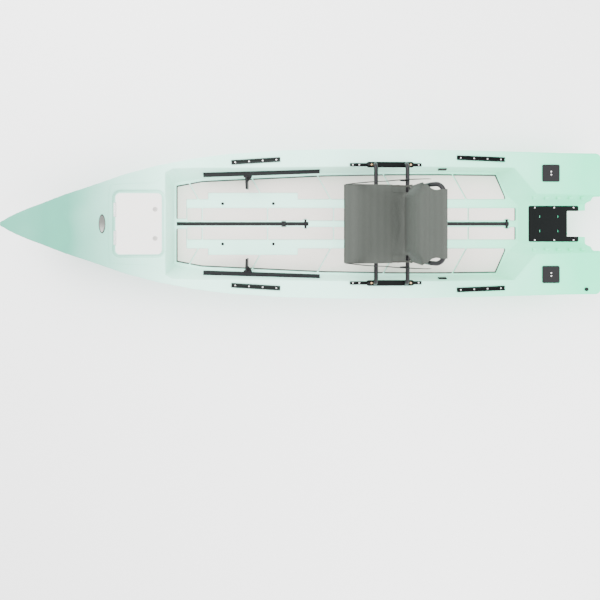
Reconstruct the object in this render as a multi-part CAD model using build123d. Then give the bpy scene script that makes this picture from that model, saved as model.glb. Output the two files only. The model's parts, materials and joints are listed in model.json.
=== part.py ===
"""Rotomoulded fishing skiff kayak with a sliding, swivelling, folding seat.

Millimetres, +Z up. The origin is under the middle of the hull, on the plane of
the keel. The bow points to -Y, the stern to +Y, port is +X, starboard is -X.
"""
from build123d import *
import math
import os

# ---- driving dimensions: hull ------------------------------------------------
HULL_LENGTH = 3810.0
HULL_BEAM = 960.0
BOW_HEIGHT = 405.0
HULL_WALL = 4.5
GUNWALE_DEPTH = 50.0
GUNWALE_STEP = 6.0
KEEL_PAD_HALF = 120.0
STERN_CORNER_R = 30.0

# Table of offsets, bow to stern. The columns are: station (share of the length),
# half-breadth of the deck edge (of half the beam), height of the deck edge (of the
# bow height), half-breadth of the chine (of the deck's), height of the chine (of
# the deck edge's), height of the keel (of the bow height), and half-breadth of the
# keel pad (of its full one).
OFFSETS = (
    (0.0000, 0.022, 1.000, 0.72, 0.982, 0.968, 0.03),
    (0.0060, 0.052, 0.997, 0.68, 0.945, 0.905, 0.03),
    (0.0160, 0.100, 0.988, 0.64, 0.870, 0.812, 0.04),
    (0.0260, 0.140, 0.979, 0.62, 0.790, 0.700, 0.05),
    (0.0360, 0.176, 0.968, 0.60, 0.730, 0.592, 0.06),
    (0.0460, 0.212, 0.957, 0.60, 0.680, 0.480, 0.08),
    (0.0630, 0.264, 0.938, 0.60, 0.620, 0.352, 0.10),
    (0.0830, 0.330, 0.921, 0.61, 0.560, 0.230, 0.16),
    (0.1030, 0.392, 0.910, 0.62, 0.505, 0.126, 0.24),
    (0.1330, 0.472, 0.893, 0.64, 0.450, 0.050, 0.38),
    (0.1630, 0.556, 0.874, 0.66, 0.415, 0.012, 0.52),
    (0.1980, 0.656, 0.857, 0.69, 0.388, 0.000, 0.75),
    (0.2520, 0.773, 0.835, 0.73, 0.365, 0.000, 1.00),
    (0.3110, 0.866, 0.811, 0.77, 0.350, 0.000, 1.00),
    (0.3660, 0.925, 0.796, 0.79, 0.335, 0.000, 1.00),
    (0.4600, 0.978, 0.777, 0.81, 0.320, 0.000, 1.00),
    (0.5630, 1.000, 0.756, 0.82, 0.305, 0.000, 1.00),
    (0.6970, 0.996, 0.723, 0.83, 0.285, 0.000, 1.00),
    (0.7440, 0.989, 0.711, 0.84, 0.275, 0.000, 1.00),
    (0.8390, 0.975, 0.686, 0.85, 0.265, 0.000, 1.00),
    (0.9250, 0.958, 0.662, 0.86, 0.258, 0.000, 1.00),
    (1.0000, 0.950, 0.640, 0.86, 0.255, 0.000, 1.00),
)

# The transom's profile: distance forward of the stern, share of the deck height there.
TRANSOM = ((193, -0.05), (193, 0.0), (108, 0.22), (95, 0.40), (64, 0.81),
           (0, 0.93), (-40, 0.93), (-40, -0.05))

# ---- driving dimensions: cockpit and stern deck -----------------------------
BOW_DECK_LENGTH = 1007.0      # bow tip to the cockpit's front wall
STERN_DECK_LENGTH = 493.0     # cockpit's aft end to the stern
SIDE_DECK_WIDTH = 114.0       # at the widest station
FLOOR_Z = 150.0
FRONT_WALL_RAKE = 12.0

# Cockpit outline at the floor: share of its length, share of its half-breadth.
WELL_FLOOR = ((0.000, 0.735), (0.020, 0.775), (0.085, 0.820), (0.435, 0.924), (0.630, 0.945),
              (0.780, 0.945), (0.937, 0.934), (0.970, 0.505), (1.000, 0.336))
# The same points where the walls meet the level of the deck's highest point.
WELL_TOP = ((0.000, 0.900), (0.020, 0.968), (0.085, 0.985), (0.435, 1.008), (0.630, 1.020),
            (0.780, 1.020), (0.985, 1.016), (1.060, 0.600), (1.080, 0.500))

TROUGH_FLOOR_Z = 200.0
TROUGH_FLOOR_HALF = 128.0
TROUGH_TOP_HALF = 185.0
NOTCH_HALF = 87.0             # motor notch, open at the stern
NOTCH_LENGTH = 191.0
OUTER_NOTCH_HALF = 176.0
OUTER_NOTCH_LENGTH = 42.0

# ---- driving dimensions: bow hatch -----------------------------------------
HATCH_LENGTH = 300.0
HATCH_WIDTH = 398.0
HATCH_SETBACK = 16.0          # lid's aft edge to the cockpit's front wall
HATCH_CORNER_R = 34.0
HATCH_RECESS_DEPTH = 12.0
HATCH_RECESS_MARGIN = 14.0
HATCH_OPENING_MARGIN = 38.0
HATCH_LID_THICKNESS = 5.0
HATCH_PAD_THICKNESS = 4.0
SEAL_WIDTH = 8.0
HINGE_LEAF_WIDTH = 88.0
HINGE_OFFSET = 89.0
HINGE_PIN_R = 2.5
HINGE_PIN_CLEARANCE = 0.08
HINGE_KNUCKLE_R = 5.0
HINGE_TONGUE = 15.0
HINGE_SETBACK = 4.0           # pin behind the lid's front edge
LATCH_OFFSET = 92.0
LATCH_SETBACK = 48.0
LATCH_R = 15.0
LATCH_CLEARANCE = 0.3

# ---- driving dimensions: deck fittings --------------------------------------
SEAT_GAP = 0.3                # between a fitting and the moulding it sits on
TRACK_LENGTH = 311.0
TRACK_WIDTH = 28.0
TRACK_HEIGHT = 9.0
TRACK_SLOT = 9.0
TRACK_LIP_SLOT = 16.0
TRACK_BASE = 2.0
TRACK_LIP = 2.5
TRACK_RECESS = 3.0
TRACK_MARGIN = 2.0
FRONT_TRACK_PLACE = 0.2475    # centre, share of the cockpit's length
REAR_TRACK_PLACE = 0.8730
FRONT_TRACK_INSET = (56.0, 58.0)   # centre line inboard of the deck edge, fore and aft
REAR_TRACK_INSET = (49.0, 55.0)
SEAT_RAIL_LENGTH = 459.0
SEAT_RAIL_WIDTH = 21.0
SEAT_RAIL_HEIGHT = 10.0
SEAT_RAIL_PLACE = 0.6065
SEAT_RAIL_INSET = 102.0       # centre line inboard of the deck edge
SCREW_R = 2.5
SCREW_HEAD_R = 4.5
SCREW_HEAD_H = 1.8
SCREW_CLEARANCE = 0.1
PAD_THICKNESS = 5.0
PAD_EDGE = 14.0               # pad's edge to the foot of the cockpit wall
CHANNEL_IN = 105.0            # bare channel between the centre and the side pads
CHANNEL_OUT = 165.0
CENTRE_GAP = 22.0             # half-width of the bare strip under the webbing
STRAP_WIDTH = 24.0
STRAP_THICKNESS = 2.0
EYE_RECESS_R = 33.0

# ---- driving dimensions: foot braces ------------------------------------------
FOOT_RAIL_LENGTH = 758.0
FOOT_RAIL_HEIGHT = 29.0
FOOT_RAIL_DEPTH = 20.0
FOOT_RAIL_ABOVE_FLOOR = 90.0
FOOT_RAIL_PLACE = 0.2610
FOOT_PEG_PLACE = -90.0        # along the rail, from its middle
FOOT_SLIDE_CLEARANCE = 0.4
FOOT_BLOCK_LENGTH = 52.0
BOLT_HEAD_R = 6.0
BOLT_HEAD_H = 2.6
BAND_BOLT_PLACES = (0.135, 0.228, 0.405, 0.882)
PEDAL_REACH = 78.0
PEDAL_HEIGHT = 86.0
PEDAL_THICKNESS = 12.0

# ---- driving dimensions: seat carriage ---------------------------------------
SLIDER_LENGTH = 302.0
SLIDER_WIDTH = 36.0
SLIDER_THICKNESS = 8.0
SLIDER_CLEARANCE = 0.4
SLIDER_FROM_RAIL_MID = 27.0
RISER_R = 13.0
RISER_WALL = 2.0
RISER_BEND_R = 38.0
RISER_SPACING = 198.0
RISER_TOP_Z = 380.0
BAR_WIDTH = 30.0
BAR_THICKNESS = 6.0
BAR_OFFSET = 44.0
SWIVEL_R = 62.0
SWIVEL_PLATE = 5.0
SWIVEL_GAP = 0.4
SWIVEL_PIN_R = 9.0
SWIVEL_PIN_CLEARANCE = 0.08
KNOB_R = 12.0
LEVER_LENGTH = 62.0
LEVER_PIN_R = 4.0
LEVER_X = 26.0
WEDGE_HALF = 105.0
WEDGE_WALL = 6.0

# ---- driving dimensions: seat --------------------------------------------------
SEAT_HALF = 240.0
SEAT_FORWARD = 45.0           # seat's reference line forward of the swivel's axis
SIDE_PLATE = 10.0
TUBE_R = 12.5
CROSS_TUBE_R = 8.0
FABRIC = 4.0
# Side plate outline, measured from the seat's reference line and the top of the swivel plate.
PLATE_OUTLINE = ((-254, 56), (-258, 70), (-194, 110), (-176, 112), (85, 64), (158, 50), (163, 40),
                 (156, 28), (98, 32), (62, 8), (-76, 28), (-108, 74), (-194, 86), (-242, 50))
FRONT_TUBE_AT = (-236.0, 68.0)
CROSS_TUBES_AT = ((-60.0, 72.0), (70.0, 48.0))
HINGE_AT = (152.0, 39.0)
HINGE_BOLT_R = 4.0
# Backrest tube, from the hinge up: fore-and-aft offset and height above the hinge.
BACK_TUBE = ((0, 0), (-2, 130), (4, 290), (16, 400), (66, 474))
BACK_SWEEP_R = 200.0
BACK_BEND_R = 60.0
BACK_CORNER_R = 58.0
HINGE_EYE_R = 15.0
RECLINE_STRAP_WIDTH = 34.0
RECLINE_STRAP_THICKNESS = 2.0
BUCKLE_THICKNESS = 5.6
UPRIGHT_GAP = 4.0             # upright to the side plate
UPRIGHT_ROOM = 5.0
SLING_CUT_AT = 28.0
SLING_HALF = 238.0

# ---- driving dimensions: bow and stern fittings -----------------------------
EYE_LENGTH = 73.0
EYE_WIDTH = 14.0
EYE_THICKNESS = 5.0
EAR_THICKNESS = 5.0
RING_R = 11.0
RING_WIRE_R = 3.0
MOTOR_PLATE_LENGTH = 327.0
MOTOR_PLATE_WIDTH = 236.0
MOTOR_PLATE_THICKNESS = 6.0
MOTOR_PLATE_SETBACK = 116.0   # plate's aft edge to the stern
MOTOR_PLATE_CORNER_R = 10.0
MOTOR_SLOT_LENGTH = 18.0
MOTOR_SLOT_R = 3.5
MOTOR_SLOTS_X = 96.0          # spacing across
MOTOR_SLOTS_Y = 120.0         # spacing along
MOTOR_SLOTS_FROM_AFT = 194.0  # pattern's centre to the plate's aft edge
STERN_PLATE_LENGTH = 113.0
STERN_PLATE_WIDTH = 111.0
STERN_PLATE_THICKNESS = 5.0
STERN_PLATE_INSET = 134.0
STERN_PLATE_SETBACK = 330.0
STERN_PLATE_SCREW = 10.0      # screw to the plate's middle
PLUG_R = 12.0
PLUG_SETBACK = 96.0
PLUG_INSET = 34.0

# ---- derived places ----------------------------------------------------------
BOW_Y = -HULL_LENGTH / 2
STERN_Y = HULL_LENGTH / 2
WELL_FRONT = BOW_Y + BOW_DECK_LENGTH
WELL_AFT = STERN_Y - STERN_DECK_LENGTH
WELL_LENGTH = WELL_AFT - WELL_FRONT
WELL_HALF = HULL_BEAM / 2 - SIDE_DECK_WIDTH


def station_value(y, column):
    """Value of one column of the offsets at a place along the hull."""
    share = min(max((y - BOW_Y) / HULL_LENGTH, 0.0), 1.0)
    for low, high in zip(OFFSETS, OFFSETS[1:]):
        if share <= high[0]:
            part = (share - low[0]) / (high[0] - low[0])
            return low[column] + part * (high[column] - low[column])
    return OFFSETS[-1][column]


def deck_half(y):
    return station_value(y, 1) * HULL_BEAM / 2


def deck_z(y):
    return station_value(y, 2) * BOW_HEIGHT


def keel_z(y):
    return station_value(y, 5) * BOW_HEIGHT


WELL_TOP_Z = deck_z(WELL_FRONT) + 10.0


def along_well(share):
    return WELL_FRONT + share * WELL_LENGTH


def outline_half(outline, y):
    """Half-breadth of a cockpit outline at a place along the hull."""
    share = (y - WELL_FRONT) / WELL_LENGTH
    for low, high in zip(outline, outline[1:]):
        if share <= high[0]:
            part = (share - low[0]) / (high[0] - low[0])
            return (low[1] + part * (high[1] - low[1])) * WELL_HALF
    return outline[-1][1] * WELL_HALF


def wall_half(y, z):
    """Half-breadth of the cockpit at a height on its side wall."""
    low = outline_half(WELL_FLOOR, y)
    high = outline_half(WELL_TOP, y)
    return low + (high - low) * (z - FLOOR_Z) / (WELL_TOP_Z - FLOOR_Z)


# ---- small helpers ---------------------------------------------------------------
def block(x0, x1, y0, y1, z0, z1):
    """A box between two corners."""
    centre = Pos((x0 + x1) / 2, (y0 + y1) / 2, (z0 + z1) / 2)
    return centre * Box(abs(x1 - x0), abs(y1 - y0), abs(z1 - z0))


def prism_along_x(points, x0, x1):
    """A side outline of (y, z) points, carried from x0 to x1."""
    return extrude(Plane.YZ.offset(x0) * Polygon(*points, align=None), x1 - x0, dir=(1, 0, 0))


def prism_along_y(points, y0, y1):
    """A cross section of (x, z) points, carried from y0 to y1."""
    return extrude(Plane.XZ.offset(-y0) * Polygon(*points, align=None), y1 - y0, dir=(0, 1, 0))


def prism_up(points, z0, z1):
    """A plan outline of (x, y) points, carried from z0 to z1."""
    return extrude(Plane.XY.offset(z0) * Polygon(*points, align=None), z1 - z0, dir=(0, 0, 1))


def rounded_slab(length, width, height, radius):
    """A flat plate on the local XY plane, its corners rounded, standing on z = 0."""
    return extrude(RectangleRounded(length, width, radius), height)


def both_sides(outline):
    """Close a half outline of (x, y) points with its mirror image."""
    return list(outline) + [(-x, y) for x, y in reversed(outline)]


def starboard(part):
    return mirror(part, about=Plane.YZ)


def ruled_between(sections):
    """A solid ruled from each closed outline of 3D points to the next."""
    return Solid.make_loft([Wire.make_polygon(points, close=True) for points in sections], ruled=True)


def deck_frame(y0, y1, inset0, inset1, drop=0.0):
    """A place on the side deck: local x runs aft along the line, local z is up."""
    start = Vector(deck_half(y0) - inset0, y0, deck_z(y0) - drop)
    end = Vector(deck_half(y1) - inset1, y1, deck_z(y1) - drop)
    run = end - start
    return Plane(origin=(start + end) / 2, x_dir=run, z_dir=run.cross(Vector(-1, 0, 0))).location


def screw(depth):
    """A pan-head screw, its head standing on z = 0."""
    shank = Pos(0, 0, -depth / 2) * Cylinder(SCREW_R, depth)
    head = Pos(0, 0, SCREW_HEAD_H / 2) * Cylinder(SCREW_HEAD_R, SCREW_HEAD_H)
    socket = Pos(0, 0, SCREW_HEAD_H) * Cylinder(SCREW_R * 0.6, SCREW_HEAD_H)
    return shank + head - socket


def screw_hole(depth):
    return Pos(0, 0, -depth / 2) * Cylinder(SCREW_R + SCREW_CLEARANCE, depth)


# ---- places of the deck fittings ------------------------------------------------
def line_frame(place, length, insets, drop):
    middle = along_well(place)
    return deck_frame(middle - length / 2, middle + length / 2, insets[0], insets[1], drop)


FRONT_TRACK = line_frame(FRONT_TRACK_PLACE, TRACK_LENGTH, FRONT_TRACK_INSET, TRACK_RECESS)
REAR_TRACK = line_frame(REAR_TRACK_PLACE, TRACK_LENGTH, REAR_TRACK_INSET, TRACK_RECESS)


def seat_rail_frame():
    """The seat rails are parallel, so their inset is taken at their middle."""
    middle = along_well(SEAT_RAIL_PLACE)
    y0 = middle - SEAT_RAIL_LENGTH / 2
    y1 = middle + SEAT_RAIL_LENGTH / 2
    x = deck_half(middle) - SEAT_RAIL_INSET
    return deck_frame(y0, y1, deck_half(y0) - x, deck_half(y1) - x, TRACK_RECESS)


SEAT_RAIL = seat_rail_frame()
TRACK_SCREWS = [-0.42 * TRACK_LENGTH, -0.14 * TRACK_LENGTH, 0.14 * TRACK_LENGTH, 0.42 * TRACK_LENGTH]
RAIL_SCREWS = [-0.46 * SEAT_RAIL_LENGTH, -0.37 * SEAT_RAIL_LENGTH, 0.46 * SEAT_RAIL_LENGTH]
HATCH_AFT = WELL_FRONT - HATCH_SETBACK
HATCH_MID = HATCH_AFT - HATCH_LENGTH / 2


def hatch_frame(drop):
    """The hatch lies on the slope of the bow deck: local x runs aft."""
    y0 = HATCH_MID - HATCH_LENGTH / 2
    y1 = HATCH_MID + HATCH_LENGTH / 2
    start = Vector(0, y0, deck_z(y0) - drop)
    end = Vector(0, y1, deck_z(y1) - drop)
    run = end - start
    return Plane(origin=(start + end) / 2, x_dir=run, z_dir=run.cross(Vector(-1, 0, 0))).location


# ---- hull ------------------------------------------------------------------------
def hull_section(y, inset=0.0):
    """Closed cross section of the hull at a station, drawn in by the wall."""
    half = deck_half(y)
    top = deck_z(y)
    keel = keel_z(y)
    band = min(GUNWALE_DEPTH, 0.3 * (top - keel))
    pad = station_value(y, 6) * KEEL_PAD_HALF
    chine = max(station_value(y, 3) * half, pad + 1.0)
    chine_z = max(station_value(y, 4) * top, keel + 0.15 * (top - keel))
    step = min(GUNWALE_STEP, 0.1 * half)
    right = [
        (pad - 0.2 * inset, keel + inset),
        (chine - 0.8 * inset, chine_z + 0.7 * inset),
        (half - step - inset, top - band),
        (half - inset, top - inset),
    ]
    left = [(-x, z) for x, z in reversed(right)]
    return [(x, y, z) for x, z in right + left]


def station_places():
    return [BOW_Y + row[0] * HULL_LENGTH for row in OFFSETS]


def outer_hull():
    return ruled_between([hull_section(y) for y in station_places()])


def inner_hull():
    """The hollow: it stops short of the solid nose and of the transom."""
    first = [y for y in station_places() if deck_half(y) > 0.25 * HULL_BEAM / 2]
    return ruled_between([hull_section(y, HULL_WALL) for y in first])


def transom_tool(grow=0.0):
    """What is cut away under the overhanging stern."""
    top = deck_z(STERN_Y)
    points = [(STERN_Y - back - grow, share * top + (grow if share > 0 else 0)) for back, share in TRANSOM]
    return prism_along_x(points, -HULL_BEAM, HULL_BEAM)


def well_tool(grow=0.0):
    """The cockpit, from its floor to above the deck."""
    sections = []
    for outline, z in ((WELL_FLOOR, FLOOR_Z - grow), (WELL_TOP, WELL_TOP_Z)):
        rake = FRONT_WALL_RAKE if outline is WELL_FLOOR else 0.0
        half = []
        for i, (share, half_share) in enumerate(outline):
            y = along_well(share) + (rake if i < 2 else 0.0)
            y += grow if i == len(outline) - 1 else 0.0
            y -= grow if i == 0 else 0.0
            half.append((half_share * WELL_HALF + grow, y))
        sections.append([(x, y, z) for x, y in both_sides(half)])
    return ruled_between(sections)


def trough_tool(grow=0.0):
    """The lower centre deck at the stern that carries the motor plate."""
    high = deck_z(WELL_AFT) + 20.0
    flare = (TROUGH_TOP_HALF - TROUGH_FLOOR_HALF) / (deck_z(STERN_Y) - TROUGH_FLOOR_Z)
    top_half = TROUGH_FLOOR_HALF + flare * (high - TROUGH_FLOOR_Z)
    floor_half = TROUGH_FLOOR_HALF + grow
    floor = TROUGH_FLOOR_Z - grow
    points = [(-floor_half, floor), (floor_half, floor), (top_half + grow, high), (-top_half - grow, high)]
    return prism_along_y(points, WELL_AFT - 0.02 * WELL_LENGTH, STERN_Y + 10.0)


def notch_tool(grow=0.0):
    """The motor notch through the stern, and the wider notch between its corners."""
    tools = []
    for half, length in ((NOTCH_HALF, NOTCH_LENGTH), (OUTER_NOTCH_HALF, OUTER_NOTCH_LENGTH)):
        start = STERN_Y - length - grow
        tools.append(block(-half - grow, half + grow, start, STERN_Y + 10.0, -10.0, BOW_HEIGHT))
    return tools[0] + tools[1]


def hatch_recess(grow=0.0):
    length = HATCH_LENGTH + 2 * HATCH_RECESS_MARGIN + 2 * grow
    width = HATCH_WIDTH + 2 * HATCH_RECESS_MARGIN + 2 * grow
    tool = rounded_slab(length, width, HATCH_RECESS_DEPTH + grow + 20.0, HATCH_CORNER_R + HATCH_RECESS_MARGIN)
    return hatch_frame(HATCH_RECESS_DEPTH + grow) * tool


def hatch_hole():
    length = HATCH_LENGTH - 2 * HATCH_OPENING_MARGIN
    width = HATCH_WIDTH - 2 * HATCH_OPENING_MARGIN
    hole = rounded_slab(length, width, 60.0, HATCH_CORNER_R)
    return hatch_frame(HATCH_RECESS_DEPTH + 30.0) * hole


def strip_recess(frame, length, width):
    """A shallow flat seat for a track or a rail."""
    tool = rounded_slab(length + 2 * TRACK_MARGIN, width + 2 * TRACK_MARGIN, 20.0, TRACK_MARGIN)
    return frame * tool


def stern_corner(side):
    """What is cut away to round a corner of the stern."""
    x = side * deck_half(STERN_Y)
    r = STERN_CORNER_R
    square = block(x - side * r, x + side * (r + 20), STERN_Y - r, STERN_Y + 20, -10, BOW_HEIGHT)
    return square - Pos(x - side * r, STERN_Y - r, BOW_HEIGHT / 2) * Cylinder(r, 2 * BOW_HEIGHT)


def hull():
    shape = outer_hull() - transom_tool() - well_tool() - trough_tool() - notch_tool()
    shape = shape - stern_corner(1) - stern_corner(-1)
    hollow = inner_hull() - transom_tool(HULL_WALL) - well_tool(HULL_WALL) - trough_tool(HULL_WALL)
    hollow = hollow - notch_tool(HULL_WALL) - hatch_recess(HULL_WALL)
    hollow = hollow - block(-HULL_BEAM, HULL_BEAM, STERN_Y - STERN_CORNER_R, STERN_Y + 10, -10, BOW_HEIGHT)
    shape = shape - hollow - hatch_recess() - hatch_hole()
    for tool in deck_cuts():
        shape = shape - tool
    return shape


def deck_cuts():
    """Shallow recesses in the side decks for the tracks and the seat rails."""
    cuts = []
    rows = ((FRONT_TRACK, TRACK_LENGTH, TRACK_WIDTH), (REAR_TRACK, TRACK_LENGTH, TRACK_WIDTH),
            (SEAT_RAIL, SEAT_RAIL_LENGTH, SEAT_RAIL_WIDTH))
    for frame, length, width in rows:
        recess = strip_recess(frame, length, width)
        cuts += [recess, starboard(recess)]
    return cuts


# ---- bow hatch --------------------------------------------------------------------
LID_BOTTOM = HATCH_RECESS_DEPTH - HATCH_PAD_THICKNESS - HATCH_LID_THICKNESS
LATCH_X = HATCH_LENGTH / 2 - LATCH_SETBACK
HINGE_X = -HATCH_LENGTH / 2 + HINGE_SETBACK
SEAT_LIFT = LID_BOTTOM + SEAT_GAP


def hatch_place(x, y, up=0.0):
    """A place in the hatch: x aft and y across from its middle, up from the recess floor."""
    return hatch_frame(HATCH_RECESS_DEPTH) * Pos(x, y, up)


def hinge_gap():
    """Room in the lid's front edge for the knuckles."""
    gap = HINGE_LEAF_WIDTH + 4.0
    height = 40.0
    return [Pos(HINGE_X - 3.0, side * HINGE_OFFSET, 0) * Box(2 * HINGE_KNUCKLE_R + 8.0, gap, height)
            for side in (-1, 1)]


def hatch_slab(thickness, shrink, up):
    length = HATCH_LENGTH - 2 * shrink
    slab = rounded_slab(length, HATCH_WIDTH - 2 * shrink, thickness, HATCH_CORNER_R - shrink)
    for tool in hinge_gap():
        slab = slab - tool
    for side in (-1, 1):
        slab = slab - Pos(LATCH_X, side * LATCH_OFFSET, 0) * Cylinder(LATCH_R + LATCH_CLEARANCE, 60.0)
    return hatch_frame(HATCH_RECESS_DEPTH) * Pos(0, 0, up) * slab


def hatch_lid():
    return hatch_slab(HATCH_LID_THICKNESS, 0.0, SEAT_LIFT)


def hatch_pad():
    return hatch_slab(HATCH_PAD_THICKNESS, 6.0, SEAT_LIFT + HATCH_LID_THICKNESS)


def hatch_seal():
    """A gasket ring on the recess floor, round the opening."""
    outer = HATCH_OPENING_MARGIN - SEAL_WIDTH - 2.0
    inner = outer + SEAL_WIDTH
    rings = []
    for margin in (outer, inner):
        length = HATCH_LENGTH - 2 * margin
        width = HATCH_WIDTH - 2 * margin
        rings.append(rounded_slab(length, width, LID_BOTTOM, HATCH_CORNER_R))
    return hatch_frame(HATCH_RECESS_DEPTH) * (rings[0] - rings[1])


HINGE_UP = SEAT_LIFT + HATCH_LID_THICKNESS / 2


def hinge_barrel(start, end):
    """A knuckle between two places along the pin, bored for it."""
    length = end - start
    turn = Rot(90, 0, 0)
    barrel = turn * Cylinder(HINGE_KNUCKLE_R, length)
    bore = turn * Cylinder(HINGE_PIN_R + HINGE_PIN_CLEARANCE, length + 2)
    return Pos(HINGE_X, (start + end) / 2, HINGE_UP) * (barrel - bore)


def hatch_hinges_lid():
    """Middle knuckles, each with a tongue under the lid."""
    leaves = []
    third = HINGE_LEAF_WIDTH / 3
    for side in (-1, 1):
        y0 = side * HINGE_OFFSET - third / 2
        start = HINGE_X + HINGE_PIN_R + 1.5
        end = HINGE_X + HINGE_KNUCKLE_R + HINGE_TONGUE
        tongue = block(start, end, y0, y0 + third, HINGE_UP - 5.0, HINGE_UP - 2.6)
        leaves.append(hatch_frame(HATCH_RECESS_DEPTH) * (hinge_barrel(y0, y0 + third) + tongue))
    return leaves


def hatch_hinges_hull():
    """Outer knuckles, standing on the recess floor ahead of the lid."""
    leaves = []
    third = HINGE_LEAF_WIDTH / 3
    gap = 0.4
    for side in (-1, 1):
        base_y = side * HINGE_OFFSET
        half = 1.5 * third
        front = HINGE_X - HINGE_KNUCKLE_R
        back = HINGE_X - HINGE_PIN_R
        leaf = block(front - 8.0, back - 1.5, base_y - half, base_y + half, 0.0, 2.4)
        for low in (-1.5 * third, 0.5 * third + gap):
            high = low + third - gap
            leaf = leaf + hinge_barrel(base_y + low, base_y + high)
            leaf = leaf + block(front - 2.0, back - 1.0, base_y + low, base_y + high, 0.0, HINGE_UP)
        leaves.append(hatch_frame(HATCH_RECESS_DEPTH) * leaf)
    return leaves


def hatch_hinge_pins():
    pins = []
    for side in (-1, 1):
        pin = Rot(90, 0, 0) * Cylinder(HINGE_PIN_R, HINGE_LEAF_WIDTH)
        pins.append(hatch_place(HINGE_X, side * HINGE_OFFSET, HINGE_UP) * pin)
    return pins


def hatch_latch(side):
    """A quarter-turn latch: a dished finger disc above the lid and a tongue below it."""
    top = SEAT_LIFT + HATCH_LID_THICKNESS + HATCH_PAD_THICKNESS
    disc = Pos(0, 0, (top + SEAT_LIFT) / 2) * Cylinder(LATCH_R, top - SEAT_LIFT)
    dish = Pos(-4.0, 0, top) * Cylinder(LATCH_R * 0.55, 5.0)
    grip = Pos(-4.0, 0, top - 1.5) * Box(2 * LATCH_R * 0.5, 3.0, 3.0)
    stem = Pos(0, 0, SEAT_LIFT / 2 - 4.0) * Cylinder(LATCH_R * 0.4, SEAT_LIFT + 8.0)
    tongue = Pos(0, side * 8.0, -9.5) * Box(10.0, 34.0, 3.0)
    return hatch_place(LATCH_X, side * LATCH_OFFSET) * (disc - dish + grip + stem + tongue)


# ---- bow fittings -----------------------------------------------------------------
def stem_frame():
    """A place on the stem: local x runs down along it, local z points out."""
    places = [BOW_Y + share * HULL_LENGTH for share in (0.016, 0.026, 0.036)]
    start, middle, end = [Vector(0, y, keel_z(y)) for y in places]
    run = end - start
    return Plane(origin=middle, x_dir=run, z_dir=run.cross(Vector(1, 0, 0))).location


EAR_HOLE_UP = EYE_THICKNESS + 7.0


def bow_eye_plate():
    """A strap plate with an ear that holds the ring."""
    lift = SEAT_GAP + EYE_THICKNESS / 2
    plate = Pos(0, 0, lift) * Box(EYE_LENGTH, EYE_WIDTH, EYE_THICKNESS)
    ear = Pos(0, 0, EAR_HOLE_UP - 3.0) * Box(EYE_WIDTH, EAR_THICKNESS, 20.0)
    ear = ear - Pos(0, 0, -10.0 + lift) * Box(3 * EYE_WIDTH, EYE_WIDTH, 20.0)
    hole = Pos(0, 0, EAR_HOLE_UP) * Rot(90, 0, 0) * Cylinder(RING_WIRE_R + 1.0, 2 * EYE_WIDTH)
    shape = plate + ear - hole
    for x in (-EYE_LENGTH * 0.38, EYE_LENGTH * 0.38):
        shape = shape + Pos(x, 0, EYE_THICKNESS + 1.2) * Cylinder(4.5, 2.6)
    return stem_frame() * shape


def ring_hole():
    return (stem_frame() * Pos(0, 0, EAR_HOLE_UP)).position


def bow_eye_ring():
    """A welded ring that hangs in the ear."""
    hole = ring_hole()
    return Pos(0, hole.Y, hole.Z - RING_R) * Rot(90, 0, 0) * Torus(RING_R, RING_WIRE_R)


def bow_badge():
    """A blank oval plate on the foredeck."""
    y = HATCH_MID - 0.5 * HATCH_LENGTH - 76.0
    frame = hatch_like_frame(y, 40.0, SEAT_GAP)
    return frame * extrude(Ellipse(20.0, 59.5), 2.0)


def hatch_like_frame(y, length, lift):
    """A place on the deck's centre line, lying on its slope."""
    start = Vector(0, y - length / 2, deck_z(y - length / 2) + lift)
    end = Vector(0, y + length / 2, deck_z(y + length / 2) + lift)
    run = end - start
    return Plane(origin=(start + end) / 2, x_dir=run, z_dir=run.cross(Vector(-1, 0, 0))).location


# ---- cockpit floor -----------------------------------------------------------------
CHANNEL_START = 0.040
PAD_BOTTOM = FLOOR_Z + SEAT_GAP


def side_pad_port():
    """Foam pad from the channel out to the foot of the wall."""
    front = WELL_FRONT + PAD_EDGE + FRONT_WALL_RAKE
    inner = CENTRE_GAP + 12.0
    points = [(inner, front), (outline_half(WELL_FLOOR, WELL_FRONT) - PAD_EDGE, front)]
    for share, _ in WELL_FLOOR[2:7]:
        y = along_well(share)
        points.append((outline_half(WELL_FLOOR, y) - PAD_EDGE, y))
    aft = along_well(WELL_FLOOR[7][0]) - PAD_EDGE
    channel = along_well(CHANNEL_START)
    points += [(CHANNEL_OUT + PAD_EDGE, aft), (CHANNEL_OUT, aft), (CHANNEL_OUT, channel), (inner, channel)]
    return prism_up(points, PAD_BOTTOM, PAD_BOTTOM + PAD_THICKNESS)


FRONT_STRAP = (0.012, 0.394)     # share of the cockpit's length: anchor, aft end
REAR_STRAP = (0.700, 0.975)
FRONT_EYE_PLACE = 0.385
REAR_EYE_PLACE = 0.968
WALL_EYE_PLACE = 0.771
WALL_EYE_ABOVE_FLOOR = 90.0
BUCKLE_PLACE = 0.322
SCUPPER_PLACES = (0.145, 0.292)
STRAP_Z = FLOOR_Z + SEAT_GAP


def centre_pad_port():
    """Foam pad between the webbing strip and the channel, cut back round the pad-eyes."""
    front = along_well(CHANNEL_START) + 4.0
    aft = WELL_AFT - 14.0
    pad = block(CENTRE_GAP, CHANNEL_IN, front, aft, PAD_BOTTOM, PAD_BOTTOM + PAD_THICKNESS)
    for place in (FRONT_EYE_PLACE, REAR_EYE_PLACE):
        pad = pad - Pos(0, along_well(place), PAD_BOTTOM) * Cylinder(EYE_RECESS_R, 30.0)
    return pad


def webbing(span):
    half = STRAP_WIDTH / 2
    start = max(along_well(span[0]), WELL_FRONT + FRONT_WALL_RAKE + 6.0)
    return block(-half, half, start, along_well(span[1]), STRAP_Z, STRAP_Z + STRAP_THICKNESS)


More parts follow.
